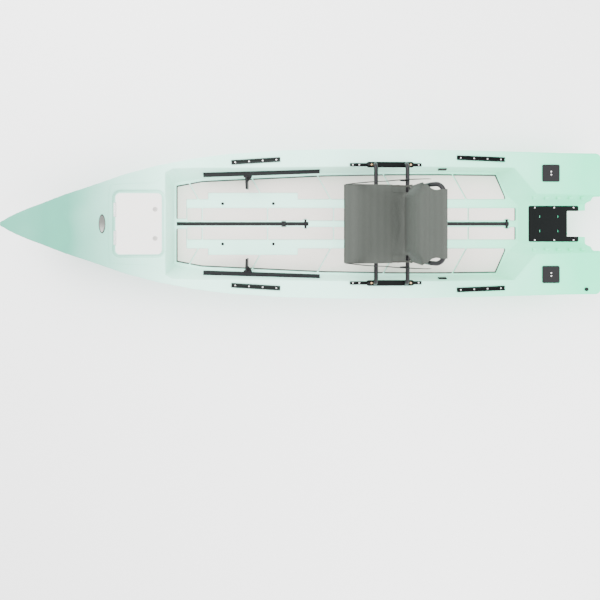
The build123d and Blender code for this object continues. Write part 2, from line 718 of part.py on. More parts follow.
def pad_eye(length):
    """A low bridge over the webbing, on two screwed feet."""
    clear = STRAP_THICKNESS + 0.6
    width = STRAP_WIDTH + 34.0
    bridge = Pos(0, 0, 5.0) * Box(width, length, 10.0)
    tunnel = Pos(0, 0, clear / 2) * Box(STRAP_WIDTH + 1.0, length + 2, clear)
    shape = bridge - tunnel
    for side in (-1, 1):
        shape = shape - Pos(side * (width / 2 - 8.0), 0, 8.5) * Box(14.0, length + 2, 3.0)
        shape = shape + Pos(side * (width / 2 - 8.0), 0, 8.0) * Cylinder(SCREW_HEAD_R, 2.0)
    return shape


def pad_eyes():
    """Two eyes over the webbing and two on the side walls aft of the seat."""
    places = (FRONT_EYE_PLACE, REAR_EYE_PLACE)
    eyes = [Pos(0, along_well(place), STRAP_Z) * pad_eye(14.0) for place in places]
    y = along_well(WALL_EYE_PLACE)
    z = FLOOR_Z + WALL_EYE_ABOVE_FLOOR
    wall = wall_half(y, z)
    slope = math.degrees(math.atan2(wall_half(y, z + 10) - wall_half(y, z - 10), 20.0))
    body = Pos(0, 0, 4.0) * Box(30.0, 52.0, 8.0) - Pos(0, 0, 2.0) * Box(16.0, 60.0, 5.0)
    body = body + Pos(0, 0, 4.0) * Box(30.0, 10.0, 8.0)
    eye = Pos(wall - SEAT_GAP - 0.4, y, z) * Rot(0, -90 + slope, 0) * body
    return eyes + [eye, starboard(eye)]


def strap_buckle():
    """A ladder-lock slide on the front webbing."""
    y = along_well(BUCKLE_PLACE)
    clear = STRAP_THICKNESS + 0.3
    body = Pos(0, 0, 4.0) * Box(STRAP_WIDTH + 12.0, 30.0, 8.0)
    tunnel = Pos(0, 0, clear / 2) * Box(STRAP_WIDTH + 0.8, 40.0, clear)
    return Pos(0, y, STRAP_Z) * (body - tunnel)


def scupper_plugs():
    """Four push-in plugs in the floor channels."""
    plug = Pos(0, 0, 1.5) * Cylinder(9.5, 3.0) + Pos(0, 0, 3.6) * Box(12.0, 3.0, 1.2)
    x = (CHANNEL_IN + CHANNEL_OUT) / 2
    places = [Pos(side * x, along_well(share), STRAP_Z) for share in SCUPPER_PLACES for side in (-1, 1)]
    return [place * plug for place in places]


# ---- tracks and rails ---------------------------------------------------------------
def gear_track(frame):
    """An aluminium T-slot track, open along the top."""
    bar = rounded_slab(TRACK_LENGTH, TRACK_WIDTH, TRACK_HEIGHT, 2.0)
    end = TRACK_LENGTH / 2 + 1.0
    for width, high in ((TRACK_SLOT, TRACK_HEIGHT + 1.0), (TRACK_LIP_SLOT, TRACK_HEIGHT - TRACK_LIP)):
        bar = bar - block(-end, end, -width / 2, width / 2, TRACK_BASE, high)
    for x in TRACK_SCREWS:
        bar = bar - Pos(x, 0, 3.0) * screw_hole(6.0)
    return frame * Pos(0, 0, SEAT_GAP) * bar


def seat_rail():
    """A flat rail with a lip on each side that the seat slider hooks over."""
    foot_width = SEAT_RAIL_WIDTH - 6.0
    foot = Pos(0, 0, SEAT_RAIL_HEIGHT * 0.3) * Box(SEAT_RAIL_LENGTH, foot_width, SEAT_RAIL_HEIGHT * 0.6)
    cap = Pos(0, 0, SEAT_RAIL_HEIGHT * 0.8) * Box(SEAT_RAIL_LENGTH, SEAT_RAIL_WIDTH, SEAT_RAIL_HEIGHT * 0.4)
    rail = foot + cap
    for x in RAIL_SCREWS:
        rail = rail - Pos(x, 0, SEAT_RAIL_HEIGHT + 1.0) * screw_hole(2 * SEAT_RAIL_HEIGHT)
        sink = Cylinder(SCREW_HEAD_R + 0.2, 2 * (SCREW_HEAD_H + 0.4))
        rail = rail - Pos(x, 0, SEAT_RAIL_HEIGHT) * sink
    return SEAT_RAIL * Pos(0, 0, SEAT_GAP) * rail


def deck_screws():
    """Pan-head screws of the gear tracks and the seat rails."""
    screws = []
    for frame in (FRONT_TRACK, REAR_TRACK):
        for x in TRACK_SCREWS:
            screws.append(frame * Pos(x, 0, SEAT_GAP + TRACK_BASE) * screw(TRACK_BASE))
    for x in RAIL_SCREWS:
        lift = SEAT_GAP + SEAT_RAIL_HEIGHT - SCREW_HEAD_H - 0.4
        screws.append(SEAT_RAIL * Pos(x, 0, lift) * screw(lift - SEAT_GAP))
    return screws + [starboard(item) for item in screws]


# ---- foot braces ------------------------------------------------------------------
FOOT_RAIL_Z = FLOOR_Z + FOOT_RAIL_ABOVE_FLOOR
FOOT_Y0 = along_well(FOOT_RAIL_PLACE) - FOOT_RAIL_LENGTH / 2
FOOT_Y1 = along_well(FOOT_RAIL_PLACE) + FOOT_RAIL_LENGTH / 2


def foot_inner(y):
    """The rail's inner face is straight, and clears the wall along its whole length."""
    low = FOOT_RAIL_Z - FOOT_RAIL_HEIGHT / 2
    start = wall_half(FOOT_Y0, low) - FOOT_RAIL_DEPTH
    end = wall_half(FOOT_Y1, low) - FOOT_RAIL_DEPTH
    return start + (end - start) * (y - FOOT_Y0) / FOOT_RAIL_LENGTH


def foot_rail_port():
    """A track along the cockpit wall: straight inside, bedded to the wall outside."""
    low = FOOT_RAIL_Z - FOOT_RAIL_HEIGHT / 2
    high = FOOT_RAIL_Z + FOOT_RAIL_HEIGHT / 2
    corners = {along_well(share) for share, _ in WELL_FLOOR}
    places = sorted({FOOT_Y0, FOOT_Y1} | {y for y in corners if FOOT_Y0 < y < FOOT_Y1})
    sections = []
    for y in places:
        inner = foot_inner(y)
        sections.append([(inner, y, low), (wall_half(y, low) - SEAT_GAP, y, low),
                         (wall_half(y, high) - SEAT_GAP, y, high), (inner, y, high)])
    rail = ruled_between(sections)
    slot = foot_frame() * Box(FOOT_RAIL_LENGTH - 40.0, 12.0, 10.0)
    return rail - slot


def foot_frame():
    """Local x runs aft along the rail's inner face, local z points inboard."""
    start = Vector(foot_inner(FOOT_Y0), FOOT_Y0, FOOT_RAIL_Z)
    end = Vector(foot_inner(FOOT_Y1), FOOT_Y1, FOOT_RAIL_Z)
    run = end - start
    inboard = Vector(0, 0, 1).cross(run)
    return Plane(origin=(start + end) / 2, x_dir=run, z_dir=inboard).location


def foot_peg_port():
    """A block that slides along the rail, with a pedal reaching inboard."""
    gap = FOOT_SLIDE_CLEARANCE
    saddle = Pos(0, 0, gap + 5.0) * Box(FOOT_BLOCK_LENGTH, FOOT_RAIL_HEIGHT + 8.0, 10.0)
    tongue = Pos(0, 0, gap - 2.0) * Box(FOOT_BLOCK_LENGTH - 8.0, 12.0 - 2 * gap, 5.0)
    wedge = Plane.XZ * Polygon((-14, 0), (26, 0), (-2, 34), (-14, 34), align=None)
    gusset = Pos(0, 0, gap + 9.0) * extrude(wedge, 10.0, both=True)
    pedal = Pos(-14.0 + PEDAL_THICKNESS / 2, 0, gap + 9.0 + PEDAL_REACH / 2)
    pedal = pedal * Box(PEDAL_THICKNESS, PEDAL_HEIGHT, PEDAL_REACH)
    face = pedal - Pos(-14.0, 0, gap + 9.0) * Rot(45, 0, 0) * Box(4.0, 4.0, 4.0)
    return foot_frame() * Pos(FOOT_PEG_PLACE, 0, 0) * (saddle + tongue + gusset + face)


def foot_rail_bolts():
    """Through bolts of the foot rails and braces: their heads show on the gunwale band."""
    bolts = []
    r = BOLT_HEAD_R
    for share in BAND_BOLT_PLACES:
        y = along_well(share)
        z = deck_z(y) - 0.5 * GUNWALE_DEPTH
        top_of_head = (0.5 * GUNWALE_DEPTH - r) / GUNWALE_DEPTH
        x = max(deck_half(y - r), deck_half(y + r)) - GUNWALE_STEP * top_of_head + SEAT_GAP
        bolts.append(Pos(x + BOLT_HEAD_H / 2, y, z) * Rot(0, 90, 0) * Cylinder(r, BOLT_HEAD_H))
    return bolts + [starboard(item) for item in bolts]


# ---- seat carriage ------------------------------------------------------------------
def slider_frame(up=0.0):
    """Local x runs aft along the seat rail, from the slider's middle."""
    return SEAT_RAIL * Pos(SLIDER_FROM_RAIL_MID, 0, SEAT_GAP + SEAT_RAIL_HEIGHT + SLIDER_CLEARANCE + up)


def slider_point(x, up=0.0):
    return (slider_frame(up) * Pos(x, 0, 0)).position


CARRIAGE_Y = slider_point(0).Y
RAIL_X = slider_point(0).X
RISER_Y = (CARRIAGE_Y - RISER_SPACING / 2, CARRIAGE_Y + RISER_SPACING / 2)


def seat_slider_port():
    """A plate that lies on the rail, with lips that hook under the rail's cap."""
    plate = rounded_slab(SLIDER_LENGTH, SLIDER_WIDTH, SLIDER_THICKNESS, SLIDER_WIDTH * 0.35)
    reach = SEAT_RAIL_HEIGHT * 0.4 + SLIDER_CLEARANCE
    for side in (-1, 1):
        gap = SEAT_RAIL_WIDTH / 2 + SLIDER_CLEARANCE
        cheek = Pos(0, side * (gap + 1.5), -reach / 2) * Box(SLIDER_LENGTH * 0.8, 3.0, reach)
        plate = plate + cheek
    for x in BOLT_PLACES:
        plate = plate - Pos(x, 0, 0) * Cylinder(4.1, 60.0)
    plate = plate - Pos(KNOB_PLACE, 0, 0) * Cylinder(4.2, 60.0)
    return slider_frame() * plate


BOLT_PLACES = (-RISER_SPACING / 2 - 21.0, RISER_SPACING / 2 + 32.0)
KNOB_PLACE = -RISER_SPACING / 2 - 42.0


def slider_bolts():
    """Brass-coloured bolts at the ends of the slider plates."""
    bolts = []
    for x in BOLT_PLACES:
        shank = Pos(0, 0, SLIDER_THICKNESS / 2) * Cylinder(4.0, SLIDER_THICKNESS)
        head = Pos(0, 0, SLIDER_THICKNESS + 1.5) * Cylinder(6.0, 3.0)
        bolts.append(slider_frame() * Pos(x, 0, 0) * (shank + head))
    return bolts + [starboard(item) for item in bolts]


def slide_lock_knob_port():
    """A T-knob on a threaded stem that clamps the slider to the rail."""
    stem = Pos(0, 0, 13.0) * Cylinder(4.0, 26.0)
    hub = Pos(0, 0, SLIDER_THICKNESS + 20.0) * Cylinder(6.5, 12.0)
    bar = Pos(0, 0, SLIDER_THICKNESS + 24.0) * extrude(RectangleRounded(2 * KNOB_R, 9.0, 4.0), 8.0)
    return slider_frame() * Pos(KNOB_PLACE, 0, 0) * (stem + hub + bar)


def riser_hoop(y):
    """A bent tube from slider to slider, over the cockpit."""
    low = slider_point(0).Z - 10.0
    top = RISER_TOP_Z - RISER_R
    corners = ((-RAIL_X, y, low), (-RAIL_X, y, top), (RAIL_X, y, top), (RAIL_X, y, low))
    path = FilletPolyline(*corners, radius=RISER_BEND_R)
    start = Plane(origin=(-RAIL_X, y, low), z_dir=(0, 0, 1))
    ring = start * (Circle(RISER_R) - Circle(RISER_R - RISER_WALL))
    tube = sweep(ring, path=path)
    foot = slider_frame(SLIDER_THICKNESS) * Pos(0, 0, -30) * Box(SLIDER_LENGTH, 3 * SLIDER_WIDTH, 60)
    return tube - foot - starboard(foot)


def carriage_bars():
    """Two flat bars along the top of the hoops, which carry the swivel."""
    y0 = RISER_Y[0] - 18.0
    y1 = RISER_Y[1] + 18.0
    half = BAR_WIDTH / 2
    top = RISER_TOP_Z + BAR_THICKNESS
    return [block(x - half, x + half, y0, y1, RISER_TOP_Z, top) for x in (-BAR_OFFSET, BAR_OFFSET)]


SWIVEL_Z = RISER_TOP_Z + BAR_THICKNESS
SWIVEL_TOP_Z = SWIVEL_Z + 2 * SWIVEL_PLATE + SWIVEL_GAP
SWIVEL_Y = (RISER_Y[0] + RISER_Y[1]) / 2
SEAT_Y = SWIVEL_Y - SEAT_FORWARD
LEVER_Y = SWIVEL_Y - SWIVEL_R - 9.0


def swivel_base():
    """The fixed round plate of the swivel, on the two bars, with its pivot post."""
    plate = Pos(0, SWIVEL_Y, SWIVEL_Z + SWIVEL_PLATE / 2) * Cylinder(SWIVEL_R, SWIVEL_PLATE)
    post = Pos(0, SWIVEL_Y, SWIVEL_Z + SWIVEL_PLATE + 7.0) * Cylinder(SWIVEL_PIN_R, 14.0)
    notch = Pos(0, SWIVEL_Y - SWIVEL_R, SWIVEL_Z) * Cylinder(7.0, 30.0)
    return plate + post - notch


def swivel_top():
    """The turning plate and the hollow wedge under the seat, bored for the pivot post."""
    low = SWIVEL_Z + SWIVEL_PLATE + SWIVEL_GAP
    plate = Pos(0, SWIVEL_Y, low + SWIVEL_PLATE / 2) * Cylinder(SWIVEL_R, SWIVEL_PLATE)
    front, aft = CROSS_TUBES_AT
    outline = [(SWIVEL_Y - 0.9 * SWIVEL_R, 0), (SWIVEL_Y + 0.9 * SWIVEL_R, 0),
               (SEAT_Y + aft[0] + 12.0, aft[1]), (SEAT_Y + front[0] - 12.0, front[1])]
    shell = prism_along_x([(y, SWIVEL_TOP_Z + z) for y, z in outline], -WEDGE_HALF, WEDGE_HALF)
    middle = sum(y for y, _ in outline) / 4
    inner = [(middle + 0.88 * (y - middle), SWIVEL_TOP_Z + z * 1.2 - 1.0) for y, z in outline]
    half = WEDGE_HALF - WEDGE_WALL
    shape = plate + (shell - prism_along_x(inner, -half, half))
    shape = shape - Pos(0, SWIVEL_Y, low) * Cylinder(SWIVEL_PIN_R + SWIVEL_PIN_CLEARANCE, 40.0)
    for y, z in CROSS_TUBES_AT:
        shape = shape - seat_point_x(y, z, CROSS_TUBE_R + 0.05, 2 * SEAT_HALF)
    lug = block(LEVER_X - 10.0, LEVER_X + 10.0, LEVER_Y - 9.0, SWIVEL_Y - 0.8 * SWIVEL_R, low, SWIVEL_TOP_Z)
    return shape + lug - Pos(LEVER_X, LEVER_Y, low) * Cylinder(LEVER_PIN_R + 0.06, 40.0)


def seat_point_x(y, z, radius, length):
    """A rod across the seat, at a place given from the seat's reference line."""
    return Pos(0, SEAT_Y + y, SWIVEL_TOP_Z + z) * Rot(0, 90, 0) * Cylinder(radius, length)


def swivel_lever():
    """A flat lever under the front of the turning plate, on a headed pin through its lug."""
    top = SWIVEL_Z + SWIVEL_PLATE
    arm = block(LEVER_X - LEVER_LENGTH, LEVER_X + 6.0, LEVER_Y - 4.5, LEVER_Y + 4.5, top - 4.0, top)
    grip = Pos(LEVER_X - LEVER_LENGTH, LEVER_Y - 4.0, top - 2.0) * Cylinder(8.0, 4.0)
    pin_top = SWIVEL_TOP_Z + 0.4
    pin = Pos(LEVER_X, LEVER_Y, (top + pin_top) / 2) * Cylinder(LEVER_PIN_R, pin_top - top)
    head = Pos(LEVER_X, LEVER_Y, pin_top + 1.0) * Cylinder(LEVER_PIN_R + 1.8, 2.0)
    return arm + grip + pin + head


# ---- seat ------------------------------------------------------------------------------
PLATE_X = SEAT_HALF - SIDE_PLATE - 4.0
UPRIGHT_X = PLATE_X - UPRIGHT_GAP - TUBE_R
SEAT_PLATE_POINTS = [(SEAT_Y + y, SWIVEL_TOP_Z + z) for y, z in PLATE_OUTLINE]
HINGE_Y = SEAT_Y + HINGE_AT[0]
HINGE_Z = SWIVEL_TOP_Z + HINGE_AT[1]


def seat_side_plate_port():
    """A cast side frame: slim at the front, deep over the swivel, slotted."""
    plate = prism_along_x(SEAT_PLATE_POINTS, PLATE_X, PLATE_X + SIDE_PLATE)
    for i in range(5):
        y = SEAT_Y - 24.0 + 15.0 * i
        slot = Pos(PLATE_X, y, SWIVEL_TOP_Z + 38.0) * Rot(20, 0, 0) * Box(60.0, 5.0, 12.0)
        plate = plate - slot
    for y, z in CROSS_TUBES_AT:
        plate = plate - seat_point_x(y, z, CROSS_TUBE_R + 0.05, 2 * SEAT_HALF + 40)
    plate = plate - seat_point_x(FRONT_TUBE_AT[0], FRONT_TUBE_AT[1], TUBE_R - 3.0, 2 * SEAT_HALF + 40)
    return plate - seat_point_x(HINGE_AT[0], HINGE_AT[1], HINGE_BOLT_R + 0.05, 2 * SEAT_HALF + 40)


def seat_front_tube():
    """The front tube, with a spigot at each end in the side plates."""
    y, z = FRONT_TUBE_AT
    body = seat_point_x(y, z, TUBE_R, 2 * PLATE_X - 2 * SEAT_GAP)
    return body + seat_point_x(y, z, TUBE_R - 3.05, 2 * (PLATE_X + SIDE_PLATE))


def seat_cross_tubes():
    length = 2 * (PLATE_X + SIDE_PLATE) + 4.0
    return [seat_point_x(y, z, CROSS_TUBE_R, length) for y, z in CROSS_TUBES_AT]


def thick_line(points, thickness):
    """Close a polyline of (y, z) points into a band, thickened to its left."""
    outer = []
    for i, point in enumerate(points):
        before = Vector(*points[max(i - 1, 0)])
        after = Vector(*points[min(i + 1, len(points) - 1)])
        run = (after - before).normalized()
        outer.append((point[0] - run.Y * thickness, point[1] + run.X * thickness))
    return list(points) + outer[::-1]


def seat_mesh():
    """The sling of the seat: it wraps the front tube and lies on the side plates.

    Its aft corners are cut back, so that the backrest's uprights fold past them.
    """
    y, z = FRONT_TUBE_AT
    wrap = []
    for degrees in (255, 225, 195):
        angle = math.radians(degrees)
        reach = TUBE_R + 12.0
        wrap.append((y + reach * math.cos(angle), z + reach * math.sin(angle)))
    top = [(-261, 72), (-196, 111.8), (-176, 112.8), (85, 64.8), (124, 57.4)]
    points = [(SEAT_Y + a, SWIVEL_TOP_Z + b) for a, b in thick_line(wrap + top, FABRIC)]
    sling = prism_along_x(points, -SLING_HALF, SLING_HALF)
    inner = UPRIGHT_X - TUBE_R - UPRIGHT_ROOM
    start = SEAT_Y + SLING_CUT_AT
    for side in (-1, 1):
        outer = side * (SEAT_HALF + 5.0)
        sling = sling - block(side * inner, outer, start, start + 200.0, SWIVEL_TOP_Z, SWIVEL_TOP_Z + 200.0)
    return sling


def back_path(x):
    return [(x, HINGE_Y + dy, HINGE_Z + dz) for dy, dz in BACK_TUBE]


def backrest_frame():
    """A hoop of tube: two uprights, bent back at the shoulder, and a top rail."""
    x = UPRIGHT_X
    up = back_path(x)
    across = [(-px, py, pz) for px, py, pz in reversed(up)]
    bends = [BACK_SWEEP_R, BACK_SWEEP_R, BACK_BEND_R, BACK_CORNER_R]
    path = FilletPolyline(*(up + across), radius=bends + bends[::-1])
    start = Plane(origin=up[0], z_dir=(0, up[1][1] - up[0][1], up[1][2] - up[0][2]))
    tube = sweep(start * (Circle(TUBE_R) - Circle(TUBE_R - 2.0)), path=path)
    for side in (-1, 1):
        eye = Pos(side * x, HINGE_Y, HINGE_Z) * Rot(0, 90, 0) * Cylinder(HINGE_EYE_R, 2 * TUBE_R + 3.0)
        tube = tube + eye
    return tube - Pos(0, HINGE_Y, HINGE_Z) * Rot(0, 90, 0) * Cylinder(HINGE_BOLT_R + 0.06, 2 * SEAT_HALF)


def backrest_mesh():
    """The sling of the back: it stands forward of the uprights, and laps the top rail."""
    lean = Vector(BACK_TUBE[4][0] - BACK_TUBE[3][0], BACK_TUBE[4][1] - BACK_TUBE[3][1]).normalized()
    ahead = Vector(-lean.Y, lean.X) * (TUBE_R + 0.6)
    line = [(-18, 26), (-52, 60), (-58, 190), (-46, 320), (-24, 372)]
    line += [(y + ahead.X, z + ahead.Y) for y, z in BACK_TUBE[3:]]
    points = [(HINGE_Y + a, HINGE_Z + b) for a, b in thick_line(line, FABRIC)]
    sling = prism_along_x(points, -SLING_HALF + 2, SLING_HALF - 2)
    for side in (-1, 1):
        for dz, r in ((30.0, 34.0), (455.0, 62.0)):
            scallop = Pos(side * SEAT_HALF, HINGE_Y, HINGE_Z + dz) * Rot(90, 0, 0) * Cylinder(r, 400.0)
            sling = sling - scallop
    return sling


def backrest_hinge_bolts():
    """A shoulder bolt on each side, headed outside the side plate."""
    bolts = []
    for side in (-1, 1):
        inner = UPRIGHT_X - TUBE_R - 4.0
        outer = PLATE_X + SIDE_PLATE
        shank = Pos((inner + outer) / 2, 0, 0) * Rot(0, 90, 0) * Cylinder(HINGE_BOLT_R, outer - inner)
        head = Pos(outer + 2.0, 0, 0) * Rot(0, 90, 0) * Cylinder(8.0, 4.0)
        bolt = Pos(0, HINGE_Y, HINGE_Z) * (shank + head)
        bolts.append(bolt if side == 1 else starboard(bolt))
    return bolts


STRAP_X = SLING_HALF + SEAT_GAP + RECLINE_STRAP_THICKNESS / 2
STRAP_FOOT = (SEAT_Y - 246.0, SWIVEL_TOP_Z + 66.0)
STRAP_HEAD = (HINGE_Y + 12.0, HINGE_Z + 396.0)


def recline_strap_port():
    """Webbing from the front corner of the seat to the shoulder of the backrest."""
    run = Vector(*STRAP_HEAD) - Vector(*STRAP_FOOT)
    across = Vector(-run.Y, run.X).normalized() * (RECLINE_STRAP_WIDTH / 2)
    corners = []
    for place, sign in ((STRAP_FOOT, 1), (STRAP_HEAD, 1), (STRAP_HEAD, -1), (STRAP_FOOT, -1)):
        corners.append((place[0] + sign * across.X, place[1] + sign * across.Y))
    half = RECLINE_STRAP_THICKNESS / 2
    return prism_along_x(corners, STRAP_X - half, STRAP_X + half)


def recline_buckles():
    """Ladder-lock slides on the recline webbing."""
    buckles = []
    part = 0.72
    run = Vector(*STRAP_HEAD) - Vector(*STRAP_FOOT)
    middle = Vector(*STRAP_FOOT) + run * part
    angle = math.degrees(math.atan2(run.Y, run.X))
    for side in (-1, 1):
        body = Box(BUCKLE_THICKNESS, 34.0, RECLINE_STRAP_WIDTH + 8.0)
        body = body - Box(RECLINE_STRAP_THICKNESS + 0.8, 40.0, RECLINE_STRAP_WIDTH + 0.8)
        buckles.append(Pos(side * STRAP_X, middle.X, middle.Y) * Rot(angle, 0, 0) * body)
    return buckles


# ---- stern -----------------------------------------------------------------------------
MOTOR_AFT = STERN_Y - MOTOR_PLATE_SETBACK
MOTOR_MID = MOTOR_AFT - MOTOR_PLATE_LENGTH / 2
MOTOR_PLATE_Z = TROUGH_FLOOR_Z + SEAT_GAP
MOTOR_SCREWS = [(side * (MOTOR_PLATE_WIDTH / 2 - 11.0), MOTOR_MID + share * MOTOR_PLATE_LENGTH)
                for side in (-1, 1) for share in (-0.38, 0.01, 0.40)]


def motor_plate():
    """A flat plate with a notch for the motor shaft, four slots and six screw holes."""
    plate = rounded_slab(MOTOR_PLATE_WIDTH, MOTOR_PLATE_LENGTH, MOTOR_PLATE_THICKNESS, MOTOR_PLATE_CORNER_R)
    plate = Pos(0, MOTOR_MID, MOTOR_PLATE_Z) * plate
    throat = STERN_Y - NOTCH_LENGTH
    plate = plate - block(-NOTCH_HALF + 3, NOTCH_HALF - 3, throat, MOTOR_AFT + 5, 0, BOW_HEIGHT)
    centre = MOTOR_AFT - MOTOR_SLOTS_FROM_AFT
    for side in (-1, 1):
        for end in (-1, 1):
            slot = extrude(SlotOverall(MOTOR_SLOT_LENGTH, 2 * MOTOR_SLOT_R), 60.0)
            at = Pos(side * MOTOR_SLOTS_X / 2, centre + end * MOTOR_SLOTS_Y / 2, MOTOR_PLATE_Z - 10.0)
            plate = plate - at * slot
    for x, y in MOTOR_SCREWS:
        plate = plate - Pos(x, y, MOTOR_PLATE_Z) * Cylinder(SCREW_R + SCREW_CLEARANCE, 60.0)
    return plate


def stern_screws():
    """Screws of the motor plate and of the two square deck plates."""
    screws = []
    for x, y in MOTOR_SCREWS:
        screws.append(Pos(x, y, MOTOR_PLATE_Z + MOTOR_PLATE_THICKNESS) * screw(MOTOR_PLATE_THICKNESS))
    for end in (-1, 1):
        place = Pos(0, end * STERN_PLATE_SCREW, STERN_PLATE_THICKNESS)
        item = stern_plate_frame() * place * screw(STERN_PLATE_THICKNESS)
        screws += [item, starboard(item)]
    return screws


def stern_plate_frame():
    middle = STERN_Y - STERN_PLATE_SETBACK
    y0 = middle - STERN_PLATE_LENGTH / 2
    y1 = middle + STERN_PLATE_LENGTH / 2
    x = deck_half(middle) - STERN_PLATE_INSET
    return deck_frame(y0, y1, deck_half(y0) - x, deck_half(y1) - x, -2 * SEAT_GAP)


def stern_plate_port():
    plate = rounded_slab(STERN_PLATE_LENGTH, STERN_PLATE_WIDTH, STERN_PLATE_THICKNESS, 10.0)
    for end in (-1, 1):
        plate = plate - Pos(0, end * STERN_PLATE_SCREW, 0) * Cylinder(SCREW_R + SCREW_CLEARANCE, 60.0)
    return stern_plate_frame() * plate


def drain_plug():
    """A knurled cap on the port stern corner, with a finger bar."""
    y = STERN_Y - PLUG_SETBACK
    frame = hatch_like_frame(y, 40.0, SEAT_GAP)
    cap = Pos(0, 0, 3.0) * Cylinder(PLUG_R, 6.0)
    bar = Pos(0, 0, 7.5) * Box(PLUG_R * 1.5, 4.0, 3.0)
    return Pos(deck_half(y) - PLUG_INSET, 0, 0) * frame * (cap + bar)


# ---- assembly ----------------------------------------------------------------------------
PARTS = {
    "hull": hull,
    "hatch_lid": hatch_lid,
    "hatch_pad": hatch_pad,
    "hatch_seal": hatch_seal,
    "hatch_hinges_lid": hatch_hinges_lid,
    "hatch_hinges_hull": hatch_hinges_hull,
    "hatch_hinge_pins": hatch_hinge_pins,
    "hatch_latch_port": lambda: hatch_latch(-1),
    "hatch_latch_starboard": lambda: hatch_latch(1),
    "bow_eye_plate": bow_eye_plate,
    "bow_eye_ring": bow_eye_ring,
    "bow_badge": bow_badge,
    "floor_pad_port": side_pad_port,
    "floor_pad_starboard": lambda: starboard(side_pad_port()),
    "centre_pad_port": centre_pad_port,
    "centre_pad_starboard": lambda: starboard(centre_pad_port()),
    "front_floor_strap": lambda: webbing(FRONT_STRAP),
    "rear_floor_strap": lambda: webbing(REAR_STRAP),
    "strap_buckle": strap_buckle,
    "pad_eyes": pad_eyes,
    "scupper_plugs": scupper_plugs,
    "front_gear_track_port": lambda: gear_track(FRONT_TRACK),
    "front_gear_track_starboard": lambda: starboard(gear_track(FRONT_TRACK)),
    "rear_gear_track_port": lambda: gear_track(REAR_TRACK),
    "rear_gear_track_starboard": lambda: starboard(gear_track(REAR_TRACK)),
    "seat_rail_port": seat_rail,
    "seat_rail_starboard": lambda: starboard(seat_rail()),
    "deck_screws": deck_screws,
    "foot_rail_port": foot_rail_port,
    "foot_rail_starboard": lambda: starboard(foot_rail_port()),
    "foot_rail_bolts": foot_rail_bolts,
    "foot_peg_port": foot_peg_port,
    "foot_peg_starboard": lambda: starboard(foot_peg_port()),
    "seat_slider_port": seat_slider_port,
    "seat_slider_starboard": lambda: starboard(seat_slider_port()),
    "slider_bolts": slider_bolts,
    "slide_lock_knob_port": slide_lock_knob_port,
    "slide_lock_knob_starboard": lambda: starboard(slide_lock_knob_port()),
    "riser_hoop_front": lambda: riser_hoop(RISER_Y[0]),
    "riser_hoop_rear": lambda: riser_hoop(RISER_Y[1]),
    "carriage_bars": carriage_bars,
    "swivel_base": swivel_base,
    "swivel_top": swivel_top,
    "swivel_lever": swivel_lever,
    "seat_side_plate_port": seat_side_plate_port,
    "seat_side_plate_starboard": lambda: starboard(seat_side_plate_port()),
    "seat_front_tube": seat_front_tube,
    "seat_cross_tubes": seat_cross_tubes,
    "seat_mesh": seat_mesh,
    "backrest_frame": backrest_frame,
    "backrest_mesh": backrest_mesh,
    "backrest_hinge_bolts": backrest_hinge_bolts,
    "recline_strap_port": recline_strap_port,
    "recline_strap_starboard": lambda: starboard(recline_strap_port()),
    "recline_buckles": recline_buckles,
    "motor_plate": motor_plate,
    "stern_screws": stern_screws,
    "stern_plate_port": stern_plate_port,
    "stern_plate_starboard": lambda: starboard(stern_plate_port()),
    "drain_plug": drain_plug,
}


def solids_of(shape):
    """All the solids of a piece or of a list of pieces."""
    items = shape if isinstance(shape, list) else [shape]
    return [solid for item in items for solid in item.solids()]


def main():
    os.makedirs("parts", exist_ok=True)
    for name, make in PARTS.items():
        solids = solids_of(make())
        shape = solids[0] if len(solids) == 1 else Compound(children=solids)
        export_step(shape, f"parts/{name}.step")


if __name__ == "__main__":
    main()
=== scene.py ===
"""Looks of the fishing skiff kayak: moulded hull, deck foam, slings, webbing and studio."""

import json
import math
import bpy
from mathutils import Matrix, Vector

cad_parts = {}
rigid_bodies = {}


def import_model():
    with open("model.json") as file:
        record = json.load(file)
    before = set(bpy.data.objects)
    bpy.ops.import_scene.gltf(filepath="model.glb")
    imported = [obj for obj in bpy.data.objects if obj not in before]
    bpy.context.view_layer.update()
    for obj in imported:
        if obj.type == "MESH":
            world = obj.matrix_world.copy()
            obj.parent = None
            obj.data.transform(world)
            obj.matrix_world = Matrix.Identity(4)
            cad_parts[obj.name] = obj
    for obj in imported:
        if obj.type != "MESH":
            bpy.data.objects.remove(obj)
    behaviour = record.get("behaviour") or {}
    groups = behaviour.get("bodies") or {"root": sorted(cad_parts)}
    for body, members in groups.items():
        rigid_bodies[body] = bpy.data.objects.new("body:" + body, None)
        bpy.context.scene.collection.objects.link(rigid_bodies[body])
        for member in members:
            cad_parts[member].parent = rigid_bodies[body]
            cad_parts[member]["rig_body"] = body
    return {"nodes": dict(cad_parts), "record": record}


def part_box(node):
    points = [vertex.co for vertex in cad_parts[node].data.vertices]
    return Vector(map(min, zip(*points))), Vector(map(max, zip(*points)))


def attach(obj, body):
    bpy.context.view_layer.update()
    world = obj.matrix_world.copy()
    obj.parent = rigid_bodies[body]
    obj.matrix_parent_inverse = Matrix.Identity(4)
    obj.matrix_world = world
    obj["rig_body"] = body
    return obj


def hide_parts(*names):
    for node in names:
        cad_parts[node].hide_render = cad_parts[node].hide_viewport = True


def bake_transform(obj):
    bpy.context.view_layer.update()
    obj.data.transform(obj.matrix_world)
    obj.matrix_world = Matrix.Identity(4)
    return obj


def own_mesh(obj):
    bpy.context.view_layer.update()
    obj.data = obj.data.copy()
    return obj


bl_info = {
    "name": "Fishing skiff kayak looks",
    "version": (1, 0, 0),
    "blender": (4, 5, 0),
    "location": "3D View > Sidebar > Skiff",
    "description": "Builds the visual pieces of the fishing skiff kayak round its CAD frame",
    "category": "Object",
}

import bmesh
import bpy
from mathutils import Vector

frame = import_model()

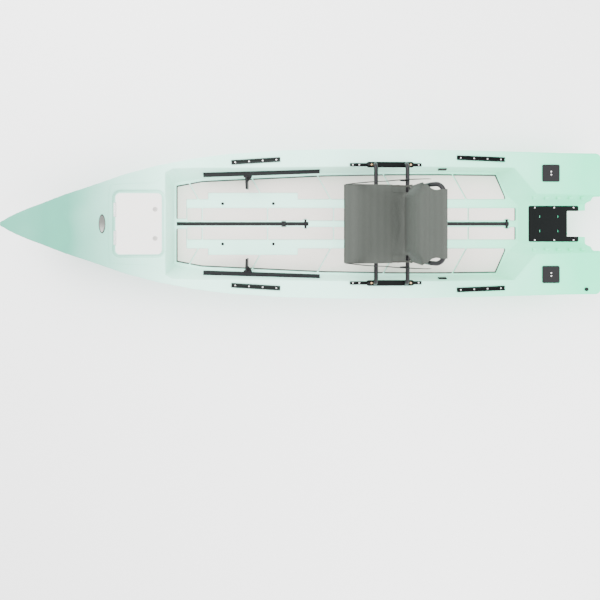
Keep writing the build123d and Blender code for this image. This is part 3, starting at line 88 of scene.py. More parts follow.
BODY_OF = {node: body for body, nodes in frame["record"]["behaviour"]["bodies"].items() for node in nodes}
SIDES = (("port", 1.0), ("starboard", -1.0))

# ---- places taken over from the CAD part, in metres -------------------------------
HULL_LENGTH = 3.810
BOW_HEIGHT = 0.405
# The deck edge, bow to stern: share of the length, and share of the bow's height.
DECK_SHARES = ((0.000, 1.000), (0.026, 0.979), (0.063, 0.938), (0.103, 0.910), (0.133, 0.893), (0.163, 0.874),
               (0.198, 0.857), (0.252, 0.835), (0.311, 0.811), (0.366, 0.796), (0.460, 0.777), (0.563, 0.756),
               (0.697, 0.723), (0.744, 0.711), (0.839, 0.686), (0.925, 0.662), (1.000, 0.640))
DECK_LINE = [((share - 0.5) * HULL_LENGTH, height * BOW_HEIGHT) for share, height in DECK_SHARES]
FLOOR_Z = 0.150
PAD_GAP = 0.0003
PAD_THICKNESS = 0.005
PAD_BOTTOM = FLOOR_Z + PAD_GAP
PAD_TOP = PAD_BOTTOM + PAD_THICKNESS
PAD_CORNER_R = 0.005
CORE_SOFT_EDGE = 0.0006
TOP_SOFT_EDGE = 0.0014
SIDE_PAD = ((0.034, -0.872), (0.255, -0.872), (0.286, -0.7016), (0.324, 0.107), (0.332, 0.557),
            (0.332, 0.904), (0.3278, 1.2665), (0.179, 1.3287), (0.165, 1.3287), (0.165, -0.060),
            (0.208, -0.060), (0.208, -0.660), (0.165, -0.660), (0.165, -0.8056), (0.034, -0.8056))
SIDE_GROOVES = (-0.785, -0.365, 0.072, 0.512, 0.975)
CENTRE_INNER, CENTRE_OUTER = 0.022, 0.105
CENTRE_CUTS = (-0.7990, -0.700, -0.262, 0.180, 0.620, 1.080, 1.398)
EYES = (-0.0087, 1.338)
EYE_R = 0.033
SEAT_PROFILE = ((0.256, 0.4385), (0.240, 0.4405), (0.2275, 0.4500), (0.2235, 0.4630), (0.2290, 0.4760),
                (0.2600, 0.4950), (0.2880, 0.5095), (0.3100, 0.5125), (0.4000, 0.4960), (0.5000, 0.4775),
                (0.5700, 0.4650), (0.6100, 0.4575))
SEAT_HALF = 0.238
SEAT_CUT = (0.513, 0.517)
SEAT_CUT_HALF = 0.192
BACK_LOWER = ((0.5960, 0.4810), (0.5820, 0.5100), (0.5760, 0.5800), (0.5760, 0.6600),
              (0.5840, 0.7300), (0.6020, 0.7920), (0.6400, 0.8420))
BACK_UPPER = ((0.6400, 0.8420), (0.6650, 0.8790), (0.6885, 0.9150), (0.6960, 0.9235), (0.7060, 0.9255),
              (0.7150, 0.9200), (0.7182, 0.9100), (0.7160, 0.9010))
BACK_HALF = 0.227
UPRIGHT_FRONT = 0.6235
SCALLOPS = ((0.4654, 0.034), (0.8904, 0.062))
STRAP_FOOT = (0.239, 0.4624)
STRAP_HEAD = (0.649, 0.8314)
STRAP_X = 0.2393
STRAP_WIDTH = 0.034
RECLINE_STRAP_THICKNESS = 0.0018
FLOOR_STRAP_THICKNESS = 0.0016
HEM_THICKNESS = 0.0014
CORNER_INNER = 0.190           # corner pieces of the seat sling, half-widths
CORNER_WIDTH = 0.036
BADGE_HALF_LENGTH = 0.0595
BADGE_HALF_WIDTH = 0.020
BADGE_FACE = 0.90              # share of the badge inside its rim


def line_value(line, y):
    """Straight interpolation in a table of (place, value)."""
    for low, high in zip(line, line[1:]):
        if y <= high[0]:
            part = max(0.0, (y - low[0]) / (high[0] - low[0]))
            return low[1] + part * (high[1] - low[1])
    return line[-1][1]


def smooth_line(points, steps):
    """A Catmull-Rom curve through 2-D points."""
    out = []
    for i in range(len(points) - 1):
        p0 = Vector(points[max(i - 1, 0)])
        p1 = Vector(points[i])
        p2 = Vector(points[i + 1])
        p3 = Vector(points[min(i + 2, len(points) - 1)])
        for k in range(steps):
            t = k / steps
            out.append(0.5 * (2 * p1 + (p2 - p0) * t + (2 * p0 - 5 * p1 + 4 * p2 - p3) * t * t
                              + (3 * p1 - p0 - 3 * p2 + p3) * t ** 3))
    out.append(Vector(points[-1]))
    return out


def spaced(points, count):
    """Points at equal steps along a 2-D line."""
    lengths = [0.0]
    for a, b in zip(points, points[1:]):
        lengths.append(lengths[-1] + (b - a).length)
    out = []
    k = 0
    for i in range(count):
        at = lengths[-1] * i / (count - 1)
        while k < len(points) - 2 and lengths[k + 1] < at:
            k += 1
        part = (at - lengths[k]) / max(lengths[k + 1] - lengths[k], 1e-9)
        out.append(points[k].lerp(points[k + 1], min(part, 1.0)))
    return out


# ---- materials ----------------------------------------------------------------------
class Shader:
    """A small builder of procedural materials."""

    def __init__(self, name, colour, roughness, metallic=0.0):
        self.material = bpy.data.materials.new(name)
        self.material.use_nodes = True
        self.tree = self.material.node_tree
        self.bsdf = next(n for n in self.tree.nodes if n.type == "BSDF_PRINCIPLED")
        self.bsdf.inputs["Base Color"].default_value = (*colour, 1.0)
        self.bsdf.inputs["Roughness"].default_value = roughness
        self.bsdf.inputs["Metallic"].default_value = metallic
        self.coords = self.tree.nodes.new("ShaderNodeTexCoord")
        self.last_bump = None

    def link(self, a, b):
        self.tree.links.new(a, b)

    def noise(self, scale, detail=2.0):
        node = self.tree.nodes.new("ShaderNodeTexNoise")
        node.inputs["Scale"].default_value = scale
        node.inputs["Detail"].default_value = detail
        self.link(self.coords.outputs["Object"], node.inputs["Vector"])
        return node.outputs["Fac"]

    def wave(self, scale, direction):
        node = self.tree.nodes.new("ShaderNodeTexWave")
        node.bands_direction = direction
        node.inputs["Scale"].default_value = scale
        self.link(self.coords.outputs["UV"], node.inputs["Vector"])
        return node.outputs["Fac"]

    def maths(self, operation, a, b):
        node = self.tree.nodes.new("ShaderNodeMath")
        node.operation = operation
        for socket, value in zip(node.inputs, (a, b)):
            if isinstance(value, float):
                socket.default_value = value
            else:
                self.link(value, socket)
        return node.outputs[0]

    def spread(self, value, low, high, to_low=0.0, to_high=1.0):
        node = self.tree.nodes.new("ShaderNodeMapRange")
        node.inputs["From Min"].default_value = low
        node.inputs["From Max"].default_value = high
        node.inputs["To Min"].default_value = to_low
        node.inputs["To Max"].default_value = to_high
        self.link(value, node.inputs["Value"])
        return node.outputs["Result"]

    def tint(self, factor, first, second):
        node = self.tree.nodes.new("ShaderNodeMix")
        node.data_type = "RGBA"
        for index, value in ((6, first), (7, second)):
            if isinstance(value, tuple):
                node.inputs[index].default_value = (*value, 1.0)
            else:
                self.link(value, node.inputs[index])
        self.link(factor, node.inputs[0])
        self.link(node.outputs[2], self.bsdf.inputs["Base Color"])
        return node.outputs[2]

    def bump(self, height, strength, distance):
        node = self.tree.nodes.new("ShaderNodeBump")
        node.inputs["Strength"].default_value = strength
        node.inputs["Distance"].default_value = distance
        self.link(height, node.inputs["Height"])
        if self.last_bump:
            self.link(self.last_bump, node.inputs["Normal"])
        self.last_bump = node.outputs["Normal"]
        self.link(self.last_bump, self.bsdf.inputs["Normal"])


def hull_material():
    """Rotomoulded polyethylene, deeper towards the ends, with a fine orange peel."""
    s = Shader("hull_polyethylene", (0.56, 0.90, 0.79), 0.45)
    axis = s.tree.nodes.new("ShaderNodeSeparateXYZ")
    s.link(s.coords.outputs["Object"], axis.inputs[0])
    mottle = s.spread(s.noise(3.0), 0.3, 0.7, -0.05, 0.05)
    bow = s.maths("ADD", s.spread(axis.outputs["Y"], -0.8, -1.5), mottle)
    stern = s.maths("ADD", s.spread(axis.outputs["Y"], 0.5, 1.8), mottle)
    forward = s.tint(bow, (0.54, 0.95, 0.80), (0.045, 0.29, 0.20))
    s.tint(stern, forward, (0.035, 0.74, 0.38))
    s.bump(s.noise(900.0, 1.0), 0.08, 0.0006)
    s.bump(s.noise(6.0, 1.0), 0.10, 0.004)
    return s.material


def plastic(name, colour, roughness, grain=700.0, depth=0.12, gloss=0.5):
    s = Shader(name, colour, roughness)
    s.bsdf.inputs["Specular IOR Level"].default_value = gloss
    s.bump(s.noise(grain, 1.0), depth, 0.0004)
    return s.material


def metal(name, colour, roughness, brushed=260.0):
    s = Shader(name, colour, roughness, 1.0)
    varied = s.spread(s.noise(brushed, 3.0), 0.3, 0.7, roughness * 0.8, roughness * 1.25)
    s.link(varied, s.bsdf.inputs["Roughness"])
    return s.material


def foam(name, colour, roughness=0.85):
    """Closed-cell foam with a brushed, speckled top."""
    s = Shader(name, colour, roughness)
    dark = tuple(c * 0.86 for c in colour)
    s.tint(s.spread(s.noise(420.0, 3.0), 0.35, 0.65), dark, colour)
    s.bump(s.noise(650.0, 2.0), 0.35, 0.0006)
    return s.material


def weave(name, colour, dark, across, along, band=0.0):
    """Woven cloth: UVs are metres across and along."""
    s = Shader(name, colour, 0.78)
    s.bsdf.inputs["Specular IOR Level"].default_value = 0.25
    warp = s.wave(across, "X")
    weft = s.wave(along, "Y")
    threads = s.maths("MULTIPLY", warp, weft)
    factor = s.spread(threads, 0.0, 0.45)
    if band:
        factor = s.maths("MULTIPLY", factor, s.spread(s.wave(band, "Y"), 0.0, 1.0, 0.72, 1.0))
    s.tint(factor, dark, colour)
    s.bump(threads, 0.5, 0.0008)
    return s.material


def materials():
    return {
        "hull": hull_material(),
        "lid": plastic("lid_plastic", (0.36, 0.72, 0.59), 0.45),
        "latch": plastic("latch_plastic", (0.40, 0.39, 0.37), 0.4),
        "foam_top": foam("deck_foam_top", (0.72, 0.67, 0.62)),
        "foam_lid": foam("hatch_foam_top", (0.80, 0.78, 0.75)),
        "foam_core": foam("deck_foam_core", (0.030, 0.030, 0.032)),
        "black": plastic("black_plastic", (0.006, 0.006, 0.007), 0.5, gloss=0.15),
        "rubber": plastic("seal_rubber", (0.012, 0.012, 0.012), 0.8, gloss=0.2),
        "steel": metal("stainless", (0.78, 0.78, 0.77), 0.28),
        "badge": metal("badge_metal", (0.15, 0.155, 0.145), 0.35),
        "brass": metal("brass_bolts", (0.60, 0.40, 0.22), 0.35),
        "track": metal("track_aluminium", (0.018, 0.021, 0.020), 0.5),
        "anodised": metal("black_anodised", (0.008, 0.009, 0.009), 0.5),
        "tube": plastic("black_tube", (0.007, 0.007, 0.008), 0.36, 900.0, 0.06, 0.2),
        "frame": plastic("seat_frame_grey", (0.030, 0.032, 0.026), 0.45, 900.0, 0.08, 0.3),
        "webbing": weave("webbing", (0.012, 0.012, 0.013), (0.004, 0.004, 0.004), 160.0, 320.0),
        "strap": weave("recline_webbing", (0.026, 0.026, 0.028), (0.010, 0.010, 0.011), 160.0, 320.0),
        "sling": weave("seat_sling", (0.062, 0.069, 0.061), (0.034, 0.038, 0.033), 260.0, 260.0, 7.0),
        "hem": weave("sling_hem", (0.022, 0.023, 0.023), (0.010, 0.010, 0.011), 220.0, 320.0),
    }


LOOKS = {}


# ---- mesh helpers ---------------------------------------------------------------------
def new_piece(name, mesh, body, look=None):
    """Link a mesh as a piece that rides on a body."""
    obj = bpy.data.objects.new(name, mesh)
    bpy.context.scene.collection.objects.link(obj)
    if look:
        mesh.materials.clear()
        mesh.materials.append(LOOKS[look])
    if body:
        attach(obj, body)
    return obj


def shade(mesh, degrees):
    mesh.shade_smooth()
    mesh.set_sharp_from_angle(angle=math.radians(degrees))


def mesh_from(bm, name, degrees=40.0):
    bmesh.ops.recalc_face_normals(bm, faces=bm.faces)
    mesh = bpy.data.meshes.new(name)
    bm.to_mesh(mesh)
    bm.free()
    shade(mesh, degrees)
    return mesh


def triangles(mesh):
    return sum(len(p.vertices) - 2 for p in mesh.polygons)


def applied(mesh, name, *steps):
    """A mesh with modifiers of (type, settings) applied in turn."""
    obj = bpy.data.objects.new(name, mesh)
    bpy.context.scene.collection.objects.link(obj)
    for kind, settings in steps:
        modifier = obj.modifiers.new(kind.lower(), kind)
        for key, value in settings.items():
            setattr(modifier, key, value)
    graph = bpy.context.evaluated_depsgraph_get()
    made = bpy.data.meshes.new_from_object(obj.evaluated_get(graph))
    bpy.data.objects.remove(obj)
    return made


def refined(node, width, look, degrees=35.0, segments=2):
    """A merged copy of a CAD node with softened edges, which stands for it."""
    bm = bmesh.new()
    bm.from_mesh(frame["nodes"][node].data)
    bmesh.ops.remove_doubles(bm, verts=bm.verts, dist=2e-6)
    bmesh.ops.dissolve_limit(bm, angle_limit=math.radians(1.0), verts=bm.verts, edges=bm.edges)
    limit = math.radians(degrees)
    sharp = [e for e in bm.edges if len(e.link_faces) == 2 and e.calc_face_angle(0.0) > limit]
    bmesh.ops.bevel(bm, geom=sharp, offset=width, segments=segments, profile=0.5, affect="EDGES",
                    clamp_overlap=True, offset_type="OFFSET")
    mesh = mesh_from(bm, node + "_skin_raw", 60.0)
    mesh = applied(mesh, node + "_weigh", ("WEIGHTED_NORMAL", {"keep_sharp": True, "weight": 80}))
    mesh.name = node + "_skin"
    obj = new_piece(node + "_skin", mesh, BODY_OF[node], look)
    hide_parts(node)
    return obj


def inset(points, distance):
    """A closed outline drawn in by a distance; its points run anticlockwise."""
    out = []
    count = len(points)
    for i, point in enumerate(points):
        p = Vector(point)
        before = (p - Vector(points[i - 1])).normalized()
        after = (Vector(points[(i + 1) % count]) - p).normalized()
        n0 = Vector((-before.y, before.x))
        n1 = Vector((-after.y, after.x))
        mitre = n0 + n1
        out.append(p + mitre * (distance / max(mitre.dot(n1), 0.35)))
    return out


def anticlockwise(points):
    area = sum(points[i - 1][0] * p[1] - p[0] * points[i - 1][1] for i, p in enumerate(points))
    return list(points) if area > 0 else list(points)[::-1]


def rounded(points, radius, steps=4):
    """An outline with its corners turned into small arcs."""
    out = []
    count = len(points)
    for i, point in enumerate(points):
        p = Vector(point)
        a = Vector(points[i - 1]) - p
        b = Vector(points[(i + 1) % count]) - p
        reach = min(radius, 0.45 * a.length, 0.45 * b.length)
        start = p + a.normalized() * reach
        end = p + b.normalized() * reach
        for k in range(steps + 1):
            t = k / steps
            out.append(start * (1 - t) ** 2 + p * 2 * t * (1 - t) + end * t * t)
    return out


def slab(bm, outline, z0, z1, edge):
    """A flat plate with a softened top edge, added to a bmesh."""
    rings = ((0.0, z0), (0.0, z1 - edge), (0.3 * edge, z1 - 0.3 * edge), (edge, z1))
    loops = []
    for draw, z in rings:
        points = inset(outline, draw) if draw else [Vector(p) for p in outline]
        loops.append([bm.verts.new((p.x, p.y, z)) for p in points])
    count = len(outline)
    for low, high in zip(loops, loops[1:]):
        for i in range(count):
            j = (i + 1) % count
            bm.faces.new((low[i], low[j], high[j], high[i]))
    bm.faces.new(loops[-1])
    bm.faces.new(loops[0][::-1])


def mirrored(points, side):
    return anticlockwise([(p[0] * side, p[1]) for p in points])


def cloth(name, rows, thickness, body, look):
    """A woven panel from rows of points, with a small thickness and UVs in metres.

    Returns the piece and the panel's area, width and length, measured on its middle."""
    bm = bmesh.new()
    grid = [[bm.verts.new(p) for p in row] for row in rows]
    layer = bm.loops.layers.uv.new("UVMap")
    area = 0.0
    u = [[0.0] * len(rows[0]) for _ in rows]
    v = [[0.0] * len(rows[0]) for _ in rows]
    for i, row in enumerate(rows):
        for j in range(len(row)):
            if j:
                u[i][j] = u[i][j - 1] + (Vector(row[j]) - Vector(row[j - 1])).length
            if i:
                v[i][j] = v[i - 1][j] + (Vector(row[j]) - Vector(rows[i - 1][j])).length
    for i in range(len(rows) - 1):
        for j in range(len(rows[0]) - 1):
            corners = ((i, j), (i, j + 1), (i + 1, j + 1), (i + 1, j))
            face = bm.faces.new([grid[a][b] for a, b in corners])
            for loop, (a, b) in zip(face.loops, corners):
                loop[layer].uv = (u[a][b], v[a][b])
            area += face.calc_area()
    mesh = bpy.data.meshes.new(name)
    bm.to_mesh(mesh)
    bm.free()
    solid = ("SOLIDIFY", {"thickness": thickness, "offset": 0.0, "use_rim": True})
    made = applied(mesh, name + "_flat", solid)
    made.name = name
    shade(made, 60.0)
    width = max(row[-1] for row in u)
    length = max(v[-1])
    return new_piece(name, made, body, look), area, width, length


# ---- settings -----------------------------------------------------------------------------
class SkiffHullSettings(bpy.types.PropertyGroup):
    voxel: bpy.props.FloatProperty(name="Voxel", description="Cell of the refined moulding", default=0.004,
                                   min=0.002, subtype="DISTANCE", unit="LENGTH")
    rounding: bpy.props.IntProperty(name="Rounding", description="Passes that soften the moulding",
                                    default=4, min=0)
    most_triangles: bpy.props.IntProperty(name="Triangles", description="Most triangles of the moulding",
                                          default=190000, min=1000)
    tub_depth: bpy.props.FloatProperty(name="Tub depth", description="Depth of the tub under the bow hatch",
                                       default=0.130, subtype="DISTANCE", unit="LENGTH")


class SkiffPadSettings(bpy.types.PropertyGroup):
    groove: bpy.props.FloatProperty(name="Groove", description="Width of a groove in the deck foam",
                                    default=0.008, subtype="DISTANCE", unit="LENGTH")
    edge: bpy.props.FloatProperty(name="Edge", description="Dark edge left round the foam top", default=0.008,
                                  subtype="DISTANCE", unit="LENGTH")
    core: bpy.props.FloatProperty(name="Core", description="Thickness of the dark core", default=0.0026,
                                  subtype="DISTANCE", unit="LENGTH")


class SkiffSeatSettings(bpy.types.PropertyGroup):
    sag: bpy.props.FloatProperty(name="Sag", description="How far the seat sling sags in its middle",
                                 default=0.006, subtype="DISTANCE", unit="LENGTH")
    thickness: bpy.props.FloatProperty(name="Thickness", description="Thickness of the sling", default=0.0022,
                                       subtype="DISTANCE", unit="LENGTH")


class SkiffStageSettings(bpy.types.PropertyGroup):
    camera_height: bpy.props.FloatProperty(name="Camera height", description="Height of the camera",
                                           default=3.5, subtype="DISTANCE", unit="LENGTH")
    camera_shift: bpy.props.FloatProperty(name="Shift", description="Vertical shift of the lens",
                                          default=-0.127)
    key: bpy.props.FloatProperty(name="Key light", description="Power of the key light", default=370.0,
                                 unit="POWER")


# ---- operators -----------------------------------------------------------------------------
class SKIFF_OT_finishes(bpy.types.Operator):
    """Make the procedural materials and give each CAD piece its own"""
    bl_idname = "skiff.finishes"
    bl_label = "Finishes"

    NODES = {
        "steel": ("hatch_hinge_pins", "deck_screws", "stern_screws", "foot_rail_bolts"),
        "brass": ("slider_bolts",),
        "tube": ("riser_hoop_front", "riser_hoop_rear", "seat_cross_tubes", "backrest_hinge_bolts",
                 "seat_front_tube", "backrest_frame"),
        "anodised": ("motor_plate",),
        "rubber": ("hatch_seal",),
    }
    REFINED = {
        "hatch_lid": (0.0012, "lid"), "hatch_latch_port": (0.0006, "latch"),
        "hatch_latch_starboard": (0.0006, "latch"),
        "hatch_hinges_lid": (0.0004, "steel"), "hatch_hinges_hull": (0.0004, "steel"),
        "bow_eye_plate": (0.0006, "steel"), "bow_eye_ring": (0.0002, "steel"),
        "strap_buckle": (0.0010, "black"),
        "pad_eyes": (0.0010, "black"), "scupper_plugs": (0.0005, "black"),
        "front_gear_track_port": (0.0005, "track"), "front_gear_track_starboard": (0.0005, "track"),
        "rear_gear_track_port": (0.0005, "anodised"), "rear_gear_track_starboard": (0.0005, "anodised"),
        "seat_rail_port": (0.0005, "anodised"), "seat_rail_starboard": (0.0005, "anodised"),
        "foot_rail_port": (0.0012, "black"), "foot_rail_starboard": (0.0012, "black"),
        "foot_peg_port": (0.0015, "black"), "foot_peg_starboard": (0.0015, "black"),
        "seat_slider_port": (0.0008, "anodised"), "seat_slider_starboard": (0.0008, "anodised"),
        "slide_lock_knob_port": (0.0012, "black"), "slide_lock_knob_starboard": (0.0012, "black"),
        "carriage_bars": (0.0008, "tube"), "swivel_base": (0.0008, "tube"), "swivel_top": (0.0012, "tube"),
        "swivel_lever": (0.0008, "tube"), "seat_side_plate_port": (0.0015, "frame"),
        "seat_side_plate_starboard": (0.0015, "frame"),
        "stern_plate_port": (0.0010, "black"), "stern_plate_starboard": (0.0010, "black"),
        "drain_plug": (0.0008, "black"),
    }

    def execute(self, context):
        LOOKS.update(materials())
        for look, nodes in self.NODES.items():
            for node in nodes:
                mesh = frame["nodes"][node].data
                mesh.materials.clear()
                mesh.materials.append(LOOKS[look])
        for node, (width, look) in self.REFINED.items():
            refined(node, width, look)
        return {"FINISHED"}


class SKIFF_OT_hull(bpy.types.Operator):
    """Refine the moulding: a skin of the CAD hull with soft edges and a tub under the hatch"""
    bl_idname = "skiff.hull"
    bl_label = "Hull moulding"

    HOLE = (0.163, -1.178, -0.950, 0.300, 0.346)

    def in_hole(self, face):
        x, y0, y1, z0, z1 = self.HOLE
        c = face.calc_center_median()
        return abs(c.x) < x and y0 < c.y < y1 and z0 < c.z < z1 and abs(face.normal.z) < 0.5

    def skin(self, depth):
        """The outer skin alone, with the hatch hole carried down as a tub."""
        bm = bmesh.new()
        bm.from_mesh(frame["nodes"]["hull"].data)
        bmesh.ops.remove_doubles(bm, verts=bm.verts, dist=5e-6)
        bm.normal_update()
        bmesh.ops.delete(bm, geom=[f for f in bm.faces if self.in_hole(f)], context="FACES")
        start = min(bm.verts, key=lambda v: v.co.y)
        kept = {start}
        queue = [start]
        while queue:
            vert = queue.pop()
            for edge in vert.link_edges:
                other = edge.other_vert(vert)
                if other not in kept:
                    kept.add(other)
                    queue.append(other)
        bmesh.ops.delete(bm, geom=[v for v in bm.verts if v not in kept], context="VERTS")
        rim = [e for e in bm.edges if len(e.link_faces) == 1]
        if not rim:
            raise RuntimeError("the hatch hole wasn't found in the hull")
        made = bmesh.ops.extrude_edge_only(bm, edges=rim)
        low = [g for g in made["geom"] if isinstance(g, bmesh.types.BMVert)]
        bmesh.ops.translate(bm, verts=low, vec=(0.0, 0.0, -depth))
        bmesh.ops.holes_fill(bm, edges=[e for e in bm.edges if len(e.link_faces) == 1], sides=0)
        bmesh.ops.recalc_face_normals(bm, faces=bm.faces)
        mesh = bpy.data.meshes.new("hull_skin_raw")
        bm.to_mesh(mesh)
        bm.free()
        return mesh

    def execute(self, context):
        settings = context.scene.skiff_hull
        voxel = settings.voxel * 1.0
        mesh = applied(self.skin(settings.tub_depth), "hull_remesh",
                       ("REMESH", {"mode": "VOXEL", "voxel_size": voxel, "use_smooth_shade": True}),
                       ("SMOOTH", {"factor": 0.5, "iterations": settings.rounding}))
        share = min(1.0, settings.most_triangles / max(triangles(mesh), 1))
        mesh = applied(mesh, "hull_thin", ("DECIMATE", {"ratio": share, "use_collapse_triangulate": True}))
        mesh.name = "hull_moulding"
        mesh.shade_smooth()
        obj = new_piece("hull_moulding", mesh, "hull_body", "hull")
        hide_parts("hull")
        return {"FINISHED"}


class SKIFF_OT_pads(bpy.types.Operator):
    """Lay the deck foam: a dark core and a light top, split by grooves, and the hatch pad"""
    bl_idname = "skiff.pads"
    bl_label = "Deck foam"

    SLANT = Vector((-0.123, 0.068)).normalized()
    OUTER_EDGE = range(1, 7)

    def clipped(self, points, place, normal):
        """The part of an outline on the side of a line that its normal points to."""
        out = []
        for i, point in enumerate(points):
            p = Vector(point)
            q = Vector(points[(i + 1) % len(points)])
            a = (p - place).dot(normal)
            b = (q - place).dot(normal)
            if a >= 0.0:
                out.append(p)
            if a * b < 0.0:
                out.append(p.lerp(q, a / (a - b)))
        return out

    def drawn_in(self, edge):
        """The side pad's outline with its outer, front and aft edges drawn in."""
        out = []
        for i, (x, y) in enumerate(SIDE_PAD):
            x -= edge if i in self.OUTER_EDGE else 0.0
            y += edge if i < 2 else 0.0
            y -= edge if i in (6, 7, 8) else 0.0
            out.append((x, y))
        return out

    def side_outlines(self, outline, groove):
        """The side pad split by slanted grooves that run aft and inboard."""
        outer = [(y, x) for x, y in SIDE_PAD[1:7]]
        normal = Vector((-self.SLANT.y, self.SLANT.x))
        normal = normal if normal.y > 0 else -normal
        pieces = []
        rest = outline
        for y in SIDE_GROOVES:
            place = Vector((line_value(outer, y), y))
            pieces.append(self.clipped(rest, place - normal * groove / 2, -normal))
            rest = self.clipped(rest, place + normal * groove / 2, normal)
        return pieces + [rest]

    def centre_outlines(self, groove, edge):
        """The segments of a centre pad, cut back round the pad-eyes."""
        half = groove / 2
        out = []
        last = len(CENTRE_CUTS) - 2
        for i, (y0, y1) in enumerate(zip(CENTRE_CUTS, CENTRE_CUTS[1:])):
            y0 += half if i else 0.0
            y1 -= half if i < last else edge
            points = [(CENTRE_OUTER, y0), (CENTRE_OUTER, y1), (CENTRE_INNER, y1)]
            for eye in EYES:
                if y0 < eye < y1:
                    start = math.acos(CENTRE_INNER / EYE_R)
                    for k in range(9):
                        angle = start - 2 * start * k / 8
                        points.append((EYE_R * math.cos(angle), eye + EYE_R * math.sin(angle)))
            points.append((CENTRE_INNER, y0))
            out.append(points)
        return out

    def lay(self, name, outlines, side, z0, z1, soft, look, stands_for=None):
        bm = bmesh.new()
        for outline in outlines:
            slab(bm, rounded(mirrored(outline, side), PAD_CORNER_R), z0, z1, soft)
        obj = new_piece(name, mesh_from(bm, name, 50.0), "hull_body", look)
        if stands_for:
            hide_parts(stands_for)

    def execute(self, context):
        s = context.scene.skiff_pads
        core_top = PAD_BOTTOM + s.core
        for name, side in SIDES:
            for part, whole, top in (
                    ("floor_pad_", self.side_outlines(SIDE_PAD, s.groove),
                     self.side_outlines(self.drawn_in(s.edge), s.groove)),
                    ("centre_pad_", self.centre_outlines(s.groove, 0.0),
                     self.centre_outlines(s.groove, s.edge))):
                self.lay(part + "core_" + name, whole, side, PAD_BOTTOM, core_top, CORE_SOFT_EDGE,
                         "foam_core", part + name)
                self.lay(part + "top_" + name, top, side, core_top - 0.0002, PAD_TOP, TOP_SOFT_EDGE,
                         "foam_top")
        hatch = refined("hatch_pad", 0.0012, "foam_lid")
        return {"FINISHED"}


class SKIFF_OT_webbing(bpy.types.Operator):
    """Lay the floor webbing and hang the recline straps"""
    bl_idname = "skiff.webbing"
    bl_label = "Webbing"

    def floor_strap(self, node):
        low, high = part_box(node)
        count = 80
        rows = []
        for i in range(count + 1):
            y = low.y + (high.y - low.y) * i / count
            lift = 0.0006 * math.sin(i * 0.35) ** 2
            z = 0.5 * (low.z + high.z) + lift
            rows.append([(low.x + (high.x - low.x) * j / 6, y, z) for j in range(7)])
        obj, area, width, length = cloth(node + "_weave", rows, FLOOR_STRAP_THICKNESS, "hull_body", "webbing")
        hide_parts(node)

    def recline(self, name, side):
        """A strap that bows a little outward, from the seat's front corner to the shoulder."""
        foot = Vector((side * STRAP_X, *STRAP_FOOT))
        head = Vector((side * STRAP_X, *STRAP_HEAD))
        run = (head - foot).normalized()
        across = Vector((0.0, -run.z, run.y))
        rows = []
        count = 90
        for i in range(count + 1):
            t = i / count
            bow = side * 0.003 * math.sin(math.pi * t)
            lean = 0.16 * math.sin(2 * math.pi * t) * side
            centre = foot.lerp(head, t) + Vector((bow + side * 0.0008, 0.0, 0.0))
            row = []
            for j in range(7):
                w = STRAP_WIDTH * (j / 6 - 0.5)
                outward = Vector((abs(w * math.sin(lean)) * side, 0, 0))
                row.append(tuple(centre + across * w * math.cos(lean) + outward))
            rows.append(row)
        made = cloth("recline_strap_weave_" + name, rows, RECLINE_STRAP_THICKNESS, None, "strap")
        obj, area, width, length = made
        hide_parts("recline_strap_" + name)
        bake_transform(obj)

    def execute(self, context):
        for node in ("front_floor_strap", "rear_floor_strap"):
            self.floor_strap(node)
        for name, side in SIDES:
            self.recline(name, side)
        buckles = refined("recline_buckles", 0.0008, "black")
        buckles.parent = None
        del buckles["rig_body"]
        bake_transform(buckles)
        return {"FINISHED"}


